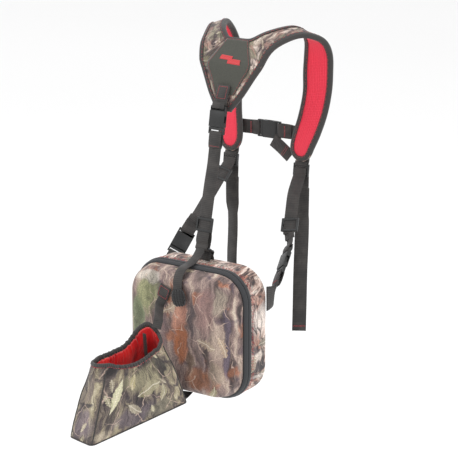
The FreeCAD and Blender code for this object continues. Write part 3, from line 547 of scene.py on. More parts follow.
gusset = bmesh.new()
steps = [tray_rim(number / 400, -0.3) for number in range(401)]
for level, fine, lift in ((-49.4, 3.6, 0.6), (-45.6, 4.4, 0.9)):
    ring = [place + out * lift + Vector((0, level, 0)) for place, out in steps]
    sew_path(gusset, ring, [out for place, out in steps], fine, 2.8, 1.1)
make(gusset, "gusset_stitching", thread, "harness")

# ------------------------------------------------------------------ yoke and shoulder pads
# Camouflage cloth over closed-cell foam, red spacer mesh on the wearer's side, and one
# grosgrain binding folded round the whole outline and sewn down with red thread.

PADS = [
    ((23, 76.5, 484), (64, 48, 444)), ((41, 92, 496), (72, 62, 469)), ((58, 117, 503), (82, 88, 484)),
    ((69, 142, 504), (97, 122, 493)), ((74, 163, 494), (111, 150, 489)), ((73, 178, 476), (119, 172, 478)),
    ((68, 185, 450), (121, 188, 452)), ((66, 185, 415), (121, 190, 418)), ((66, 185, 380), (119, 190, 384)),
    ((62, 178, 340), (115, 183, 345)), ((55, 171, 305), (107, 173, 308)), ((53, 167, 283), (99, 166, 284)),
    ((58, 165, 270), (93, 165, 270)), ((68, 164, 262), (83, 164, 262)),
]
YOKE = [(14, 27, 365), (34, 34, 392), (49, 41, 418), (64, 48, 444)]
YOKE_TOP = (23, 76.5, 484)
TOP_OUT = Vector((0, -40, 28.5)).normalized()


def eased(rows, t):
    """Smooth value between rows of numbers, t counting rows."""
    last = len(rows) - 1
    here = min(int(t), last - 1)
    f = t - here
    a, b, c, d = (Vector(rows[min(last, max(0, here + k))]) for k in (-1, 0, 1, 2))
    return b + 0.5 * f * (c - a + f * (2 * a - 5 * b + 4 * c - d + f * (3 * (b - c) + d - a)))


NECKS = [neck for neck, arm in PADS]
ARMS = [arm for neck, arm in PADS]


def pad_frame(t):
    """Neck edge, arm edge and outward direction of the right-hand pad at one station."""
    neck, arm = eased(NECKS, t), eased(ARMS, t)
    t0, t1 = max(0, t - 0.3), min(len(PADS) - 1, t + 0.3)
    run = eased(NECKS, t1) + eased(ARMS, t1) - eased(NECKS, t0) - eased(ARMS, t0)
    out = (arm - neck).cross(run).normalized()
    return neck, arm, out.lerp(TOP_OUT, smooth(1.2, 0, t)).normalized()


def yoke_frame(t):
    """Half width, middle and outward direction of the yoke, t from 0 at its tip to 4 at the neck."""
    if t <= 3:
        half, y, z = eased(YOKE, t)
        ahead, behind = eased(YOKE, min(3, t + 0.3)), eased(YOKE, max(0, t - 0.3))
        out = Vector((0, -(ahead.z - behind.z), ahead.y - behind.y)).normalized()
        return half, Vector((0, y, z)), out.lerp(TOP_OUT, smooth(2.2, 3, t)).normalized()
    half, y, z = Vector(YOKE[3]).lerp(Vector(YOKE_TOP), t - 3)
    return half, Vector((0, y, z)), TOP_OUT


edge = [(Vector((8, 27, 365)), yoke_frame(0)[2])]
for number in range(61):
    half, middle, out = yoke_frame(number / 20)
    edge.append((middle + Vector((half, 0, 0)), out))
ends = (len(PADS) - 1) * 20
edge += [(pad_frame(number / 20)[1], pad_frame(number / 20)[2]) for number in range(1, ends + 1)]
edge += [(pad_frame(number / 20)[0], pad_frame(number / 20)[2]) for number in range(ends, 0, -1)]
edge += [(Vector((23 - 3 * k, 76.5, 484)), TOP_OUT) for k in range(8)]
mirrored = [(Vector((-p.x, p.y, p.z)), Vector((-n.x, n.y, n.z))) for p, n in reversed(edge)]
edge += mirrored


def evenly(rows, gap):
    """The same closed line with its points an even distance apart."""
    result, spare = [rows[0]], 0.0
    for (here, out), (there, ahead) in zip(rows, rows[1:] + rows[:1]):
        length = (there - here).length
        while spare + length >= gap and length > 1e-6:
            part = (gap - spare) / length
            here = here.lerp(there, part)
            out = out.lerp(ahead, part)
            result.append((here, out.normalized()))
            length = (there - here).length
            spare = 0.0
        spare += length
    return result


outline = evenly(edge, 3.0)
for repeat in range(6):
    outline = [((outline[k - 1][0] + 2 * outline[k][0] + outline[(k + 1) % len(outline)][0]) / 4,
                (outline[k - 1][1] + outline[k][1] + outline[(k + 1) % len(outline)][1]).normalized())
               for k in range(len(outline))]
near = KDTree(len(outline))
for number, (place, out) in enumerate(outline):
    near.insert(place, number)
near.balance()


def crown(place, rise=2.4, reach=16):
    """How far the padding sinks below its full height near the bound edge."""
    return -rise * (1 - smooth(-2, reach, near.find(place)[2]))


def pad_point(u, v, side, depth, sink):
    """Point on a pad at a depth below its face, pinched towards the binding."""
    neck, arm, out = pad_frame(v * (len(PADS) - 1))
    place = neck.lerp(arm, u if side > 0 else 1 - u)
    ripple = noise.noise(place * 0.05) * 0.5
    place = place + out * (crown(place) * sink - depth + ripple)
    return Vector((place.x * side, place.y, place.z))


def yoke_point(u, v, depth, sink):
    """Point on the yoke at a depth below its face."""
    half, middle, out = yoke_frame(v * 4)
    place = middle + Vector((half * (2 * u - 1), 0, 0))
    return place + out * (crown(place) * sink - depth)


pad_camo = camo("camouflage_cordura_on_foam",
                [(0.28, "#3f3a39"), (0.43, "#7a6862"), (0.53, "#9a857b"), (0.64, "#b8a99a"),
                 (0.78, "#dcd2c6")],
                [("#97907a", 30, 0.13, 20, 60), ("#55444a", 24, 0.12, 230, 90),
                 ("#d8c6ba", 20, 0.06, 70, 420),
                 ("#a98478", 26, 0.10, 300, 15)],
                [(30, 0.5, 2.2, 1.4, [(0.0, "#8b8368"), (0.4, "#b9aa8c"), (0.7, "#94796a"),
                                      (1.0, "#5b5148")])],
                bark=1.1, twigs=0.5)

red_mesh, surface = finish_named("red_polyester_spacer_mesh", Roughness=0.7, Sheen_Weight=0.35,
                                 Sheen_Roughness=0.4)
place = cloth_map(red_mesh)
# The mesh's eyelets are drawn at 3 mm, a little coarser than they are, so that they show.
eyelet = node(red_mesh, "TexVoronoi", {0: place, "Scale": 1 / 3.0, "Randomness": 0.25},
              voronoi_dimensions="2D")
ridge = node(red_mesh, "TexWave", {0: place, "Scale": 0.075, "Distortion": 0.6}, bands_direction="X")
faint = node(red_mesh, "Math", {0: ridge, 1: 0.12}, operation="MULTIPLY")
mixed = node(red_mesh, "Math", {0: eyelet, 1: 0.9, 2: faint}, operation="MULTIPLY_ADD")
toned(red_mesh, surface, mixed, [(0.1, "#cf1d36"), (0.4, "#e92f48"), (0.9, "#f04a60")], 0.5, 0.0007)

for word, side in (("right", 1), ("left", -1)):
    face = lay(20, 150, lambda u, v: pad_point(u, v, side, 0, 1), lambda u,
               v: (52 * u + 40 * side, 520 * v + 80))
    make(face, "pad_face_" + word, pad_camo, "harness", ["pad_shell_" + word],
                   wall=5.5,
                   sharp=80)
    back = lay(20, 150, lambda u, v: pad_point(1 - u, v, side, 9.2, -0.8), lambda u, v: (52 * u, 520 * v))
    make(back, "pad_mesh_" + word + "_lining", red_mesh, "harness", ["pad_mesh_" + word],
                   wall=2.4, sharp=80)
face = lay(40, 60, lambda u, v: yoke_point(u, v, 0, 1), lambda u, v: (110 * u, 150 * v))
make(face, "yoke_face", pad_camo, "harness", ["yoke_shell"], wall=5.5, sharp=80)
back = lay(40, 60, lambda u, v: yoke_point(1 - u, v, 9.2, -0.8), lambda u, v: (110 * u, 150 * v))
make(back, "yoke_mesh_lining", red_mesh, "harness", ["yoke_mesh"], wall=2.4, sharp=80)

grosgrain, surface = finish_named("black_grosgrain_binding", Roughness=0.72, Sheen_Weight=0.15)
place = cloth_map(grosgrain)
ribs = node(grosgrain, "TexWave", {0: place, "Scale": 0.22, "Distortion": 0.5}, bands_direction="Y")
toned(grosgrain, surface, ribs, [(0.0, "#282625"), (1.0, "#403d3b")], 0.4, 0.0004)

BINDING = [(7.6, -0.6), (7.4, 0.7), (4.6, 0.5), (2.0, -0.2), (-0.2, -1.6), (-1.0, -4.6), (-0.4, -8.0),
           (2.0, -9.3),
           (5.0, -9.9), (7.6, -10.0), (7.8, -8.6)]


def edge_frame(number):
    """Place, outward direction and inward direction at a point of the outline."""
    count = len(outline)
    place, out = outline[number % count]
    run = outline[(number + 1) % count][0] - outline[number - 1 if number % count else count - 1][0]
    return place, out, out.cross(run).normalized()


def binding_point(u, v):
    """Point on the folded binding."""
    place, out, inward = edge_frame(round(v * len(outline)))
    reach, level = BINDING[round(u * len(BINDING)) % len(BINDING)]
    return place + inward * reach + out * level


bound = lay(len(BINDING), len(outline), binding_point, lambda u, v: (30 * u, 3.0 * len(outline) * v))
bmesh.ops.recalc_face_normals(bound, faces=bound.faces)
make(bound, "pad_binding", grosgrain, "harness", sharp=60)

rows = [edge_frame(number) for number in range(len(outline) + 1)]
sewn = bmesh.new()
sew_path(sewn, [p + inward * 6.2 + out * 0.75 for p, out, inward in rows], [out for p, out, inward in rows],
         4.6, 2.8)
sew_path(sewn, [p + inward * 6.2 - out * 10.1 for p, out, inward in rows], [-out for p, out, inward in rows],
         4.6, 2.8)
make(sewn, "binding_stitching", thread, "harness")

# ------------------------------------------------------------------ yoke patch
# A six-cornered patch of olive-grey synthetic suede is sewn over the yoke.  It carries
# a plain embroidered bar mark.

PATCH = [(20, 34, 392), (33, 41, 418), (44, 48, 444), (22, 74, 480.5)]


def merged(*parts):
    """Several meshes as one, with the first one's cloth map."""
    whole = parts[0]
    for part in parts[1:]:
        spare = bpy.data.meshes.new("part")
        part.to_mesh(spare)
        part.free()
        whole.from_mesh(spare)
        bpy.data.meshes.remove(spare)
    return whole


def patch_point(u, v, lift=1.3):
    """Point on the patch, just above the yoke's face."""
    half, y, z = eased(PATCH, v * 3) if v < 2 / 3 else Vector(PATCH[2]).lerp(Vector(PATCH[3]), v * 3 - 2)
    out = Vector((0, -26, 7)).normalized().lerp(TOP_OUT, smooth(0.55, 0.78, v)).normalized()
    return Vector((half * (2 * u - 1), y, z)) + out * lift


suede, surface = finish_named("olive_synthetic_suede", Roughness=0.85, Sheen_Weight=0.3)
spots = (node(suede, "TexCoord"), "Object")
nap = node(suede, "TexNoise", {0: spots, "Scale": 700.0, "Detail": 4.0})
toned(suede, surface, nap, [(0.3, "#393a33"), (0.7, "#4a4a42")], 0.35, 0.0004)
patch = lay(16, 30, patch_point, lambda u, v: (50 * u, 90 * v))
make(patch, "yoke_badge", suede, "harness", ["yoke_patch"], wall=1.2, sharp=80)

hem = [patch_point(0.04, k / 60, 1.45) for k in range(61)] + [patch_point(k / 20, 1.0,
                                                                          1.45) for k in range(1, 20)]
hem += [patch_point(0.96, 1 - k / 60, 1.45) for k in range(61)]
sewn = bmesh.new()
sew_path(sewn, hem, [TOP_OUT] * len(hem), 2.6, 2.0, 0.6)
make(sewn, "patch_stitching", thread, "harness")

satin_thread, surface = finish_named("red_rayon_embroidery", Roughness=0.4, Sheen_Weight=0.3)
spots = (node(satin_thread, "TexCoord"), "Object")
fill = node(satin_thread, "TexWave", {0: spots, "Scale": 180.0, "Distortion": 1.0},
            bands_direction="DIAGONAL")
toned(satin_thread, surface, fill, [(0.2, "#a5141a"), (0.8, "#d8262c")])
mark = []
for start, end, level, thick in ((0.24, 0.55, 0.74, 0.06), (0.46, 0.76, 0.69, 0.075)):
    mark.append(lay(10, 6, lambda u,
                    v: patch_point(start + (end - start) * u, level - 0.01 * u + thick * (v - 0.5),
                                                    1.4 + 0.9 * math.sin(math.pi * v) ** 0.5), lambda u,
                    v: (u, v)))
make(merged(*mark), "embroidered_bars", satin_thread, "harness")

# ------------------------------------------------------------------ webbing
# 25 mm ribbed polypropylene webbing, heat-cut and bar-tacked.  Doubled ends go round
# the bars of the buckles, and single runs pass through the adjusters.

webbing, surface = finish_named("ribbed_polypropylene_webbing", Roughness=0.62, Sheen_Weight=0.12)
place = cloth_map(webbing)
# The twill's ribs are drawn at 3 mm along and 2 mm across, coarser than they are, so that they show.
ribs = node(webbing, "TexWave", {0: place, "Scale": 0.10, "Distortion": 0.3}, bands_direction="Y")
chain = node(webbing, "TexWave", {0: place, "Scale": 0.15}, bands_direction="X")
weave = node(webbing, "Math", {0: ribs, 1: chain}, operation="MULTIPLY")
dust = node(webbing, "TexNoise", {0: place, "Scale": 0.05, "Detail": 4.0}, noise_dimensions="2D")
shade = node(webbing, "Math", {0: weave, 1: 0.45, 2: dust}, operation="MULTIPLY_ADD")
toned(webbing, surface, shade, [(0.35, "#211f1e"), (0.6, "#2e2b29"), (0.95, "#413d3a")])
link(webbing, node(webbing, "Bump", {"Strength": 0.5, "Distance": 0.0005, "Height": weave}), surface,
     "Normal")


def rounded(points, widths, bend=9.0):
    """The same line with each corner drawn as a small arc, and the width's direction at every point."""
    line = [(points[0], widths[0])]
    for before, here, after, width in zip(points, points[1:], points[2:], widths[1:]):
        cut = [min(bend, 0.48 * (other - here).length) for other in (before, after)]
        first = here + (before - here).normalized() * cut[0]
        last = here + (after - here).normalized() * cut[1]
        for step in range(5):
            f = step / 4
            line.append((first.lerp(here, f).lerp(here.lerp(last, f), f), width))
    line.append((points[-1], widths[-1]))
    return line


def ribbon(points, width, thick, across=(1, 0, 0), bend=9.0, step=5.0):
    """Flat webbing with soft edges along given points, as a closed mesh."""
    points = [Vector(p) for p in points]
    widths = [Vector(w).normalized() for w in (across if isinstance(across[0],
                                                                    tuple) else [across] * len(points))]
    line, dense = rounded(points, widths, bend), []
    for (here, w0), (there, w1) in zip(line, line[1:]):
        count = max(1, math.ceil((there - here).length / step))
        dense += [(here.lerp(there, k / count), w0.lerp(w1, k / count)) for k in range(count)]
    dense.append(line[-1])
    dense = [row for k, row in enumerate(dense) if k == 0 or (row[0] - dense[k - 1][0]).length > 0.05]
    travelled = [0.0]
    for here, there in zip(dense, dense[1:]):
        travelled.append(travelled[-1] + (there[0] - here[0]).length)
    w, t, e = width / 2, thick / 2, min(0.6, thick * 0.4)
    section = [(-w + e, -t), (0, -t), (w - e, -t), (w, -t + e), (w, t - e), (w - e, t), (0, t), (-w + e, t),
               (-w, t - e), (-w, -t + e)]

    def at(u, v):
        index = min(len(dense) - 1, round(v * (len(dense) - 1)))
        here, wide = dense[index]
        run = (dense[min(index + 1, len(dense) - 1)][0] - dense[max(index - 1, 0)][0]).normalized()
        wide = (wide - run * wide.dot(run)).normalized()
        x, y = section[round(u * len(section)) % len(section)]
        return here + wide * x + run.cross(wide) * y

    bm = lay(len(section), len(dense) - 1, at,
             lambda u, v: (section[round(u * len(section)) % len(section)][0] + 60,
                           travelled[min(len(dense) - 1, round(v * (len(dense) - 1)))]))
    bmesh.ops.holes_fill(bm, edges=[e for e in bm.edges if e.is_boundary], sides=0)
    bmesh.ops.recalc_face_normals(bm, faces=bm.faces)
    return bm


def axes(origin, wide, up):
    """Frame of a buckle or adjuster: X along its width, Z along the webbing."""
    z = Vector(up).normalized()
    x = (Vector(wide) - z * Vector(wide).dot(z)).normalized()
    turn = Matrix((x, z.cross(x), z)).transposed().to_4x4()
    return Matrix.Translation(Vector(origin)) @ turn


def looped(place, edge, inwards, length, half=3.4, close=1.7):
    """Webbing folded round a bar whose slot-side edge is at that height, closing towards its open end."""
    bend = edge - inwards * 1.3
    far = bend + inwards * length
    rows = [(0, close, far), (0, half, far - inwards * 7), (0, half, bend + inwards * 2.5),
            (0, half * 0.6, bend),
            (0, -half * 0.6, bend), (0, -half, bend + inwards * 2.5), (0, -half, far - inwards * 7),
            (0, -close, far)]
    return [place @ Vector(row) for row in rows]


def tack(bm, place, z, wide=21, side=1, lift=2.6, rows=2):
    """Bar-tack across the webbing at a height in a buckle's own frame, on one face."""
    for row in range(rows):
        up = (place.to_3x3() @ Vector((0, side, 0))).normalized()
        level = z + row * 1.5
        sew(bm, place @ Vector((-wide / 2, side * lift, level)),
            place @ Vector((wide / 2, side * lift, level)), up,
            2.4, 2.2, 0.8)


tacks = bmesh.new()
yoke_place = axes((0, 12, 339), (1, 0, 0), (0, 0.17, 0.985))
tab = ribbon([yoke_place @ Vector((0, 2.8, 38)), (0, 24.0, 386), (0, 33.8, 408)], 25, 3.4)
make(merged(ribbon(looped(yoke_place, 33, 1, 11), 25, 1.6), tab), "yoke_tab_webbing", webbing, "harness",
     ["yoke_tab"])
box = [Vector((x, 22.1 + (z - 386) * 0.445, z)) for x, z in ((-8.5, 387), (8.5, 387), (8.5, 406), (-8.5, 406),
                                                            (-8.5, 387))]
for here, there in zip(box, box[1:]):
    sew(tacks, here, there, Vector((0, -22, 9.8)).normalized(), 2.6, 2.3, 0.8)

make(ribbon(looped(yoke_place, -9, -1, 28), 25, 1.6), "yoke_plug_webbing", webbing, "yoke_plug",
     ["yoke_buckle_fold"])
plug_tacks = bmesh.new()
tack(plug_tacks, yoke_place, -33, side=-1, lift=3.1)
make(plug_tacks, "yoke_plug_tack", thread, "yoke_plug")

ring_place = Matrix.Translation((0, -25, 131)) @ Matrix.Rotation(math.radians(-35), 4, "X")
bend = [ring_place @ Vector((0, y, z)) for y, z in ((-12.2, 5), (-12.2, -1.4), (-10.4, -3.2), (-6.2, -3.2),
                                                   (-4.4, -1.4), (-4.4, 4))]
run = [yoke_place @ Vector((0, 0, -33)), yoke_place @ Vector((0, 0, -63)), (0, -9, 242), (0, -26.8, 166),
       (0, -34, 150)] + bend + [(0, -21.5, 152), (0, -21.6, 164), (0, -16.5, 186)]
make(ribbon(run, 25, 1.6, bend=12), "centre_strap_webbing", webbing, "harness", ["centre_strap"])
haul = [(0, -27, 111.5), (0, -26, 116)]
haul += [ring_place @ Vector((0, y, z)) for y,
         z in ((4.4, -3), (4.4, 1.4), (6.2, 3.2), (10.4, 3.2), (12.2, 1.4),
                                                    (12.2, -4))] + [(0, -15, 116), (0, -15, 111.5)]
make(ribbon(haul, 25, 1.6), "haul_tab_webbing", webbing, "harness", ["haul_tab"])

chest_place = axes((-17, 180, 306), (0, 0, 1), (1, 0, 0))
upright = (0, 0, 1)
left_tab = ribbon([chest_place @ Vector((0, -2.6, -17)), (-54, 177.6, 306), (-64, 178.2, 306),
                   (-84, 178.4, 306)],
                  25, 3.2, upright)
make(merged(ribbon(looped(chest_place, -9, -1, 15), 25, 1.6, upright), left_tab), "chest_left_webbing",
     webbing,
     "harness", ["chest_strap_left"])
make(ribbon([chest_place @ Vector((0, 0, 55)), (66, 179.4, 306), (84, 178.4, 306)], 25, 1.6, upright),
     "chest_right_webbing", webbing, "harness", ["chest_strap_right"])
make(ribbon(looped(chest_place, 33, 1, 28), 25, 1.6, upright), "chest_socket_webbing", webbing,
     "chest_socket",
     ["chest_buckle_fold"])
make(ribbon([(5, 176, 288), (24, 175, 277), (42, 177, 262)], 24, 2.4,
            ((0.5, 0, 0.86), (0.55, 0, 0.84), (0.6, 0, 0.8))),
     "chest_loose_end", webbing, "chest_socket")
socket_tacks = bmesh.new()
for place in (Vector((30, 173.6, 273)), Vector((33, 173.8, 271))):
    sew(socket_tacks, place - Vector((6, 0, 9)), place + Vector((6, 0, 9)), Vector((0, -1, 0)), 2.4, 2.2, 0.8)
for side in (1, -1):
    tack(socket_tacks, chest_place, 46, side=side, lift=4.3)
make(socket_tacks, "chest_socket_tack", thread, "chest_socket")
tack(tacks, chest_place, -26, side=-1, lift=3.6)
tack(tacks, chest_place, -26, side=1, lift=3.6)

for word, side in (("right", 1), ("left", -1)):
    across = Vector((side * -0.749, 0.44, -0.497))
    side_place = axes((side * 110.6, 47, 99.4), across, (side * -0.1, 0.665, 0.74))
    level = (-side, 0, 0)
    points = [side_place @ Vector((0, 0, 42)), side_place @ Vector((0, 0, 51)), (side * 101, 85.5, 146),
              (side * 97, 90.5, 155)]
    widths = [tuple(across), tuple(across), (side * -0.93, 0.25, -0.28), level]
    points += [(85, 121, 211), (77, 148.5, 233)] if side > 0 else [(-77.5, 150, 234)]
    widths += [level, level] if side > 0 else [level]
    points += [(side * 75.5, 157.4, 242)]
    widths += [level]
    lock_place = axes((side * 75, 161, 246), (1, 0, 0), (0, 0.12, 0.99))
    points += [lock_place @ Vector((0, y, z)) for y,
               z in ((-3.6, 1.5), (-2, 4.4), (2, 4.4), (3.8, 2.2), (4.2, -1))]
    widths += [level] * 5
    strap = ribbon(points, 24.6, 1.6, widths, bend=14)
    make(merged(ribbon(looped(side_place, 33, 1, 13), 25, 1.6, tuple(across)), strap), "side_webbing_" + word,
         webbing, "harness", ["side_strap_" + word])
    make(ribbon(looped(side_place, -9, -1, 28), 25, 1.6, tuple(across)), "side_plug_webbing_" + word, webbing,
         "side_plug_" + word, ["side_buckle_fold_" + word])
    plug_tacks = bmesh.new()
    tack(plug_tacks, side_place, -29, side=1, lift=4.0)
    tack(plug_tacks, side_place, -29, side=-1, lift=4.0)
    make(plug_tacks, "side_plug_tack_" + word, thread, "side_plug_" + word)
    end_tab = ribbon([lock_place @ Vector((0, 3.6, 12)), (side * 75, 167.2, 262), (side * 75, 170, 280)], 25,
                     2.6)
    make(merged(ribbon(looped(lock_place, 7.5, 1, 9), 25, 1.6), end_tab), "pad_end_webbing_" + word, webbing,
         "harness", ["pad_tab_" + word])
    turned = Vector((0.82, 0.57, 0)) if side > 0 else Vector((0.98, -0.2, 0))
    tail = ribbon([(side * 75, 165.8, 246), (side * 75, 167, 236), (side * 75.5, 165, 190),
                   (side * 74, 166.5, 120),
                   (side * 74.5, 162, 60), (side * 73, 163.5, 5), (side * 73, 162, -51)], 25, 1.6,
                  ((1, 0, 0), (1, 0, 0), (0.97, 0.2, 0)) + (tuple(turned),) * 4, bend=26)
    make(tail, "loose_tail_" + word, webbing, "tail_" + word, ["strap_tail_" + word])
    tail_tacks = bmesh.new()
    facing = turned.cross(Vector((0, 0, 1)))
    for lift in (-1.1, 1.1):
        for z in (-43, -41):
            middle = Vector((side * 73, 162.2, z)) + facing * lift
            sew(tail_tacks, middle - turned * 11, middle + turned * 11, facing * lift / 1.1, 2.4, 2.2, 0.8)
    make(tail_tacks, "tail_hem_stitching_" + word, thread, "tail_" + word)

# ------------------------------------------------------------------ side gussets
# A triangle of webbing cloth sewn to the pack's side narrows into each side buckle.

for word, side in (("right", 1), ("left", -1)):
    across = Vector((side * -0.749, 0.44, -0.497))
    side_place = axes((side * 110.6, 47, 99.4), across, (side * -0.1, 0.665, 0.74))
    half = (side_place.to_3x3() @ Vector((12.5, 0, 0)))
    half = -half if half.z < 0 else half
    rows = []
    for level, turn in ((-33, 0.1), (-44, 0.5), (-54, 0.85)):
        spread = half.lerp(Vector((-side, 1.5, 20)), turn)
        rows.append((side_place @ Vector((0, 0, level)) + spread,
                     side_place @ Vector((0, 0, level)) - spread))
    rows += [(Vector((side * 114.6, -6, 80)), Vector((side * 117, -9, 38)))]

    def wing_point(u, v):
        """Point on the gusset between its upper and lower edges."""
        top, low = (eased([row[k] for row in rows], v * (len(rows) - 1)) for k in (0, 1))
        return top.lerp(low, u)

    wing = lay(8, 20, wing_point, lambda u, v: (25 * u, 80 * v))
    make(wing, "side_gusset_" + word, webbing, "harness", ["wing_tab_" + word], wall=2.0)
    for v in (0.28, 0.34):
        for lift in (0.5, -2.6):
            up = Vector((side, -0.5, 0.4)).normalized()
            sew(tacks, wing_point(0.06, v) + up * 0.4 * lift, wing_point(0.94, v) + up * 0.4 * lift, up, 2.4,
                2.2, 0.9)
make(tacks, "bar_tacks", thread, "harness")

# ------------------------------------------------------------------ buckles and adjusters
# Side-release buckles, tri-glides and ladder-locks are injection-moulded acetal, satin
# black with rounded edges.  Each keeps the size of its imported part.

acetal, surface = finish_named("black_moulded_acetal", Roughness=0.38, IOR=1.48, Specular_IOR_Level=0.5)
spots = (node(acetal, "TexCoord"), "Object")
orange_peel = node(acetal, "TexNoise", {0: spots, "Scale": 600.0, "Detail": 2.0})
toned(acetal, surface, orange_peel, [(0.3, "#1b1c1c"), (0.7, "#262727")])
link(acetal, node(acetal, "MapRange", {0: orange_peel, 3: 0.3, 4: 0.48}), surface, "Roughness")
link(acetal, node(acetal, "Bump", {"Strength": 0.15, "Distance": 0.0002, "Height": orange_peel}), surface,
     "Normal")


def eased_part(part, radius, material, body, segments=2):
    """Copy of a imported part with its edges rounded, shown in its place."""
    bm = bmesh.new()
    bm.from_mesh(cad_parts[part].data)
    bmesh.ops.remove_doubles(bm, verts=bm.verts, dist=1e-6)
    bmesh.ops.dissolve_limit(bm, angle_limit=math.radians(3), verts=bm.verts, edges=bm.edges)
    sharp = [e for e in bm.edges if len(e.link_faces) == 2 and e.calc_face_angle() > math.radians(25)]
    bmesh.ops.bevel(bm, geom=sharp, offset=radius / 1000, segments=segments, profile=0.5, affect="EDGES",
                    material=-1, clamp_overlap=True)
    bmesh.ops.scale(bm, verts=bm.verts, vec=(1000, 1000, 1000))
    return make(bm, part + "_moulding", material, body, [part], sharp=35)


for part, body in (("yoke_buckle_female", "harness"), ("yoke_buckle_male", "yoke_plug"),
                   ("chest_buckle_female", "chest_socket"), ("chest_buckle_male", "harness"),
                   ("side_buckle_female_right", "harness"), ("side_buckle_male_right", "side_plug_right"),
                   ("side_buckle_female_left", "harness"), ("side_buckle_male_left", "side_plug_left"),
                   ("centre_glide", "centre_adjuster"), ("side_glide_right", "side_adjuster_right"),
                   ("side_glide_left", "side_adjuster_left"), ("ladder_lock_right", "harness"),
                   ("ladder_lock_left", "harness")):
    eased_part(part, 0.7, acetal, body)

# ------------------------------------------------------------------ ring, sliders and pulls
# The ring is bent steel wire with a black oxide finish; the sliders are zinc castings
# and the pulls are stamped from the same metal.

black_steel, surface = finish_named("black_oxide_steel", Metallic=1.0, Roughness=0.42)
spots = (node(black_steel, "TexCoord"), "Object")
wear = node(black_steel, "TexNoise", {0: spots, "Scale": 240.0, "Detail": 3.0})
toned(black_steel, surface, wear, [(0.35, "#38393b"), (0.7, "#5a5c5f")])
link(black_steel, node(black_steel, "MapRange", {0: wear, 3: 0.32, 4: 0.5}), surface, "Roughness")


def ring_point(u, v):
    """Point on the round wire of the ring."""
    place, out = rim(v, 34 - 3.6, 20 - 3.6, 4)
    tube = math.radians(360 * u)
    flat = Vector((place.x, place.z, 0)) + Vector((out.x, out.z, 0)) * 1.8 * math.cos(tube)
    return ring_place @ (flat + Vector((0, 0, 1.8 * math.sin(tube))))


wire = lay(12, 96, ring_point, lambda u, v: (u, v))
bmesh.ops.recalc_face_normals(wire, faces=wire.faces)
make(wire, "wire_ring", black_steel, "harness", ["pack_ring"])
for part, body in (("zip_slider_upper", "upper_slider"), ("zip_pull_upper", "upper_pull"),
                   ("zip_slider_lower", "lower_slider"), ("zip_pull_lower", "lower_pull")):
    eased_part(part, 0.6, black_steel, body, 3)
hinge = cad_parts["lid_hinge"].data
hinge.materials.clear()
hinge.materials.append(tape)

# ------------------------------------------------------------------ boot pocket
# A soft tapered bag for a stock butt: printed cordura side panels with piped corner
# seams, a red satin lining, and an elastic mouth that gathers the cloth under it.

boot_place = Matrix.Translation((9, -121.9, -106)) @ Matrix.Rotation(math.radians(76.9), 4, "Z")
boot_place = boot_place @ Matrix.Rotation(math.radians(-7.2), 4, "Y") @ Matrix.Translation((-104, 0, 0))
BOOT_TALL = 126


def mouth_drop(x, y):
    """How far the elastic mouth lies below the bag's full height: its near side sags, its far end is pulled up."""
    near = 10 + 16 * (1 - min(1, (x / 55) ** 2))
    far = 14 - 28 * smooth(5, 64, x)
    return near + (far - near) * smooth(-20, 20, y)


def shared(u):
    """Place on the eight parts of the outline, so that each takes its real share of the way round."""
    for number, share in enumerate((0.10, 0.04, 0.32, 0.04, 0.10, 0.04, 0.32, 0.04)):
        if u < share or number == 7:
            return (number + min(1, u / share)) / 8
        u -= share


def boot_ring(u, v, inset=0.0):
    """Point on the bag's wall in its own frame, v from the base to the mouth."""
    base, out = rim(shared(u % 1), 208 - 2 * inset, 60 - 2 * inset, max(4, 9 - inset / 2))
    top, out_top = rim(shared(u % 1), 135 - 2 * inset, 58 - 2 * inset, 26 - inset)
    part = v ** 1.05
    flat = base.lerp(top, part)
    out = out.lerp(out_top, part).normalized()
    x, y = flat.x + 12.5 * v, flat.z
    z = v * (BOOT_TALL - mouth_drop(top.x, top.z))
    side = abs(out.z)
    belly = 5.0 * math.sin(math.pi * min(1, v * 1.15) ** 0.8) * side * (1 - (x / 125) ** 2)
    waist = -3.5 * smooth(0.55, 0.95, v) * side
    crumple = 2.0 * noise.noise(Vector((x, y * 3, z)) * 0.028) + 0.9 * noise.noise(Vector((x, y * 2,
                                                                                           z)) * 0.07)
    gather = smooth(0.74, 0.97,
                    v) * (1.3 * math.sin(u * 2 * math.pi * 46) + 0.9 * math.sin(u * 2 * math.pi * 27 + 1))
    push = (belly + waist + crumple * smooth(0, 0.12, v) + gather - inset * 0.1)
    return Vector((x + out.x * push * 0.5, y + out.z * push, z))


boot_camo = camo("printed_cordura_boot",
                 [(0.28, "#3b3536"), (0.42, "#6b5f5c"), (0.52, "#85796a"), (0.63, "#9c9177"),
                  (0.78, "#cfc6ae")],
                 [("#463e42", 20, 0.07, 150, 640)],
                 [(24, 0.2, 8.3, 7.1, [(0.0, "#d5cfa8"), (0.5, "#a99f86"), (1.0, "#5c534c")])], bark=1.1,
                 twigs=0.7,
                 fields=[(426, 95, 76, 24, "#9b9478"), (406, 25, 66, 24, "#6d6168"),
                         (461, 18, 38, 20, "#8b8470"),
                         (341, 10, 22, 12, "#bdb09a"), (488, 100, 14, 28, "#3a3838"),
                         (286, 90, 28, 28, "#8d7f74"),
                         (286, 30, 32, 32, "#82747a"), (286, 62, 32, 8, "#3f3a3d"),
                         (350, 40, 16, 30, "#4a4240")],
                 grain=20,
                 blades=[(350, 78, 74, 62, 24, "#d6d3ac"), (436, 70, 10, 66, 30, "#8f8866"),
                         (396, 95, 60, 34, 14, "#b3a678"), (400, 40, -35, 44, 18, "#a79c88"),
                         (466, 50, 70, 40, 16, "#9c9474")])
skin = lay(192, 60, lambda u, v: boot_place @ boot_ring(u, v), lambda u, v: (520 * u, 126 * v))
make(skin, "boot_skin", boot_camo, "boot", ["boot_shell"], wall=1.6, sharp=80)

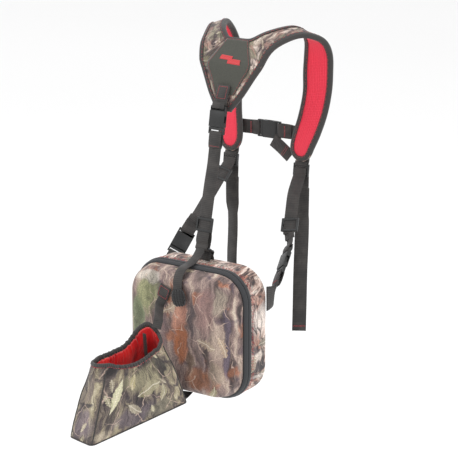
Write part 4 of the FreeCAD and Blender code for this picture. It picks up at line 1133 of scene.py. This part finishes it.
satin, surface = finish_named("red_acetate_satin", Roughness=0.34, Sheen_Weight=0.3, Specular_IOR_Level=0.6)
spots = (node(satin, "TexCoord"), "Object")
# The fold noise colours the satin dark red in its folds and bright orange-red on their crests: painted shade and
# painted sheen, over a bump from the same noise.
crease = node(satin, "TexNoise", {0: node(satin, "VectorMath", {0: spots, 1: (30, 30, 9)},
                                          operation="MULTIPLY"), "Scale": 1.4, "Detail": 4.0,
                                  "Distortion": 0.8})
toned(satin, surface, crease, [(0.3, "#a80c12"), (0.52, "#d8181c"), (0.7, "#f23a34")], 0.8, 0.004)


def lining_point(u, v):
    """Point on the satin lining, with long folds that run down from the mouth."""
    point = boot_ring(1 - u, 0.02 + 0.97 * v, 4.2)
    fold = 1.5 * noise.noise(Vector((point.x * 0.06, point.y * 0.05, point.z * 0.012)))
    return boot_place @ (point + Vector((0, fold * (1 if point.y < 0 else -1), 0)))


inside = lay(160, 40, lining_point, lambda u, v: (560 * u, 126 * v))
make(inside, "boot_satin", satin, "boot", ["boot_lining"], wall=0.6, sharp=80)


def base_point(u, v):
    """Point on the bag's base, sagging a little in the middle."""
    place, out = rim(1 - u, 208 - 2 * 29.9 * v, 60 - 2 * 29.9 * v, max(0.05, 9 * (1 - v)))
    return boot_place @ Vector((place.x, place.z, -1.2 - 2.4 * smooth(0, 1, v)))


bottom = lay(192, 12, base_point, lambda u, v: (560 * u, 30 * v))
make(bottom, "boot_bottom", boot_camo, "boot", ["boot_base"], wall=1.6, sharp=80)

piping = bmesh.new()
lines = [[boot_ring(number / 240, 0.0) + Vector((0, 0, -0.4)) for number in range(241)]]
for corner in (0.12, 0.48, 0.62, 0.98):
    lines.append([boot_ring(corner, 0.01 + 0.95 * k / 60) for k in range(61)])
for number, line in enumerate(lines):
    def cord_point(u, v, line=line):
        """Point on a piping cord that stands half out of the seam."""
        k = min(len(line) - 1, round(v * (len(line) - 1)))
        run = (line[min(k + 1, len(line) - 1)] - line[max(0, k - 1)]).normalized()
        out = Vector((line[k].x, line[k].y * 3.4, 0)).normalized()
        side = run.cross(out).normalized()
        tube = math.radians(360 * u)
        return boot_place @ (line[k] + out * (0.5 + 1.1 * math.cos(tube)) + side * 1.1 * math.sin(tube))
    cord = lay(8, len(line) - 1, cord_point, lambda u, v: (6 * u, 500 * v))
    bmesh.ops.recalc_face_normals(cord, faces=cord.faces)
    spare = bpy.data.meshes.new("cord")
    cord.to_mesh(spare)
    piping.from_mesh(spare)
    cord.free()
make(piping, "boot_piped_seams", grosgrain, "boot", ["boot_piping"])

MOUTH = [(-3.2, 0.0), (-3.6, 2.0), (-3.2, 5.0), (-1.6, 6.8), (0.8, 6.8), (2.5, 5.0), (3.0, 2.6), (2.6, 0.2),
         (1.4, -1.2), (-1.8, -1.2)]


def mouth_point(u, v):
    """Point on the elastic band folded over the mouth, slightly ruched."""
    rim_point = boot_ring(v, 1.0)
    ahead = boot_ring((v + 0.004) % 1, 1.0) - boot_ring((v - 0.004) % 1, 1.0)
    out = Vector((ahead.y, -ahead.x, 0)).normalized()
    reach, level = MOUTH[round(u * len(MOUTH)) % len(MOUTH)]
    ruche = 0.35 * math.sin(v * 2 * math.pi * 90)
    return boot_place @ (rim_point + out * (reach * (1 + 0.1 * ruche) - 1.0 + ruche * 0.5) + Vector((0, 0,
                                                                                                     level)))


def smooth_mouth(bm, times):
    """Even out the band so that the gathers stay in the cloth under it."""
    for repeat in range(times):
        bmesh.ops.smooth_vert(bm, verts=bm.verts, factor=0.5, use_axis_x=True, use_axis_y=True,
                              use_axis_z=True)


band = lay(len(MOUTH), 200, mouth_point, lambda u, v: (30 * u, 400 * v))
smooth_mouth(band, 1)
bmesh.ops.recalc_face_normals(band, faces=band.faces)
make(band, "boot_elastic_mouth", grosgrain, "boot", ["boot_binding"], rounds=1)
sewn = bmesh.new()
line = [boot_place @ (boot_ring(k / 300, 1.0) + Vector((0, 0, 0.6))) for k in range(301)]
outs = []
for k in range(301):
    ahead = boot_ring(((k + 1) / 300) % 1, 1.0) - boot_ring(((k - 1) / 300) % 1, 1.0)
    outs.append((boot_place.to_3x3() @ Vector((ahead.y, -ahead.x, 0))).normalized())
sew_path(sewn, [p + out * 2.2 for p, out in zip(line, outs)], outs, 4.0, 2.6, 0.9)
make(sewn, "boot_topstitch", thread, "boot")
tape_inside = ribbon([boot_place @ Vector(p) for p in ((58, 8, 132), (57, 9, 90), (70, 9, 40))], 9, 1.2,
                     tuple(boot_place.to_3x3() @ Vector((0, 1, 0))))
make(tape_inside, "boot_inner_tape", webbing, "boot")

# ------------------------------------------------------------------ straps over the lid
# An 18 mm strap comes from the ring over the lid's top edge to a sewn keeper and a
# rolled elastic; from the keeper the hanger goes down to the boot, and a webbing
# anchor ties the boot's lower corner to the lid's bottom edge.

points = [(1, -47, 126), (0, -58, 119), (-1, -70, 114.8)]
for step in range(6):
    turn = math.radians(18 * step)
    points.append((0.6 * step - 1, FRONT + 24 - 26 * math.sin(turn), 88 + 26 * math.cos(turn)))
points += [(2, FRONT - 2.0, 85), (2.2, FRONT - 3.4, 79)]
make(ribbon([ring_place @ Vector((-1, -5.5, 4.6)), ring_place @ Vector((-1, -10, 3.4))] + points, 18, 1.8,
            bend=10),
     "lid_strap_webbing", webbing, "lid", ["lid_strap"])

keeper_place = Matrix.Translation((-26, FRONT - 0.6, 71)) @ Matrix.Rotation(math.radians(20), 4, "Y")


def keeper_point(u, v):
    """Point on the keeper, a square tab wrapped over the strap."""
    x, z = 24 * (u - 0.5), 24 * (v - 0.5)
    edge_drop = 2.2 * smooth(0.82, 1.0, max(abs(2 * u - 1), abs(2 * v - 1)))
    return keeper_place @ Vector((x, -3.8 + edge_drop, z))


keeper = lay(24, 24, keeper_point, lambda u, v: (24 * u, 24 * v))
make(keeper, "keeper_tab", webbing, "lid", ["strap_keeper"], wall=1.6)
sewn = bmesh.new()
box = [keeper_place @ Vector((x, -4.1, z)) for x, z in ((-9, -9), (9, -9), (9, 9), (-9, 9), (-9, -9))]
for here, there in zip(box, box[1:]):
    sew(sewn, here, there, Vector((0, -1, 0)), 2.8, 2.4, 0.9)
make(sewn, "keeper_stitching", thread, "lid")

elastic, surface = finish_named("black_knitted_elastic", Roughness=0.85, Sheen_Weight=0.2)
place = cloth_map(elastic)
ribs = node(elastic, "TexWave", {0: place, "Scale": 0.16, "Distortion": 0.4}, bands_direction="X")
toned(elastic, surface, ribs, [(0.0, "#0f0f10"), (1.0, "#2b2a2a")], 0.7, 0.0008)
roll_place = Matrix.Translation((6, FRONT - 4.4, 67)) @ Matrix.Rotation(math.radians(-12), 4, "Y")


def roll_point(u, v):
    """Point on the rolled elastic loop: a soft barrel with turned-in ends."""
    swell = (1 - abs(2 * v - 1) ** 5) ** 0.5 if 0 < v < 1 else 0
    tube = math.radians(360 * u)
    wide = 1 + 0.05 * math.sin(v * 30)
    return roll_place @ Vector((27 * (v - 0.5), 5.0 * wide * swell * math.cos(tube), 15.0 * wide * swell *
                                math.sin(tube)))


roll = lay(28, 36, roll_point, lambda u, v: (60 * u, 32 * v))
bmesh.ops.recalc_face_normals(roll, faces=roll.faces)
make(roll, "rolled_elastic", elastic, "lid", ["strap_roll"])

lip = boot_place @ Vector((81, -2, 145))
hanger = [Vector((-25, FRONT - 2.4, 66)), Vector((-30, FRONT - 2.8, 58)), Vector((-31, FRONT - 9, 50)),
          lip + Vector((-2, 5, 6)), lip, boot_place @ Vector((77, -2, 137))]
hang = make(ribbon(hanger, 16, 1.8, (0.86, 0.1, -0.5)), "boot_hanger_webbing", webbing, None,
            ["boot_hanger"])
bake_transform(hang)
corner = boot_place @ Vector((111, 0, 4))
anchor = [Vector((-8, -70, -115)), Vector((-5, -88, -118)), Vector((2, FRONT - 6, -113)), corner,
          boot_place @ Vector((100, 0, 5))]
tie = make(ribbon(anchor, 25, 2), "boot_anchor_webbing", webbing, None, ["boot_anchor"])
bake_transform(tie)
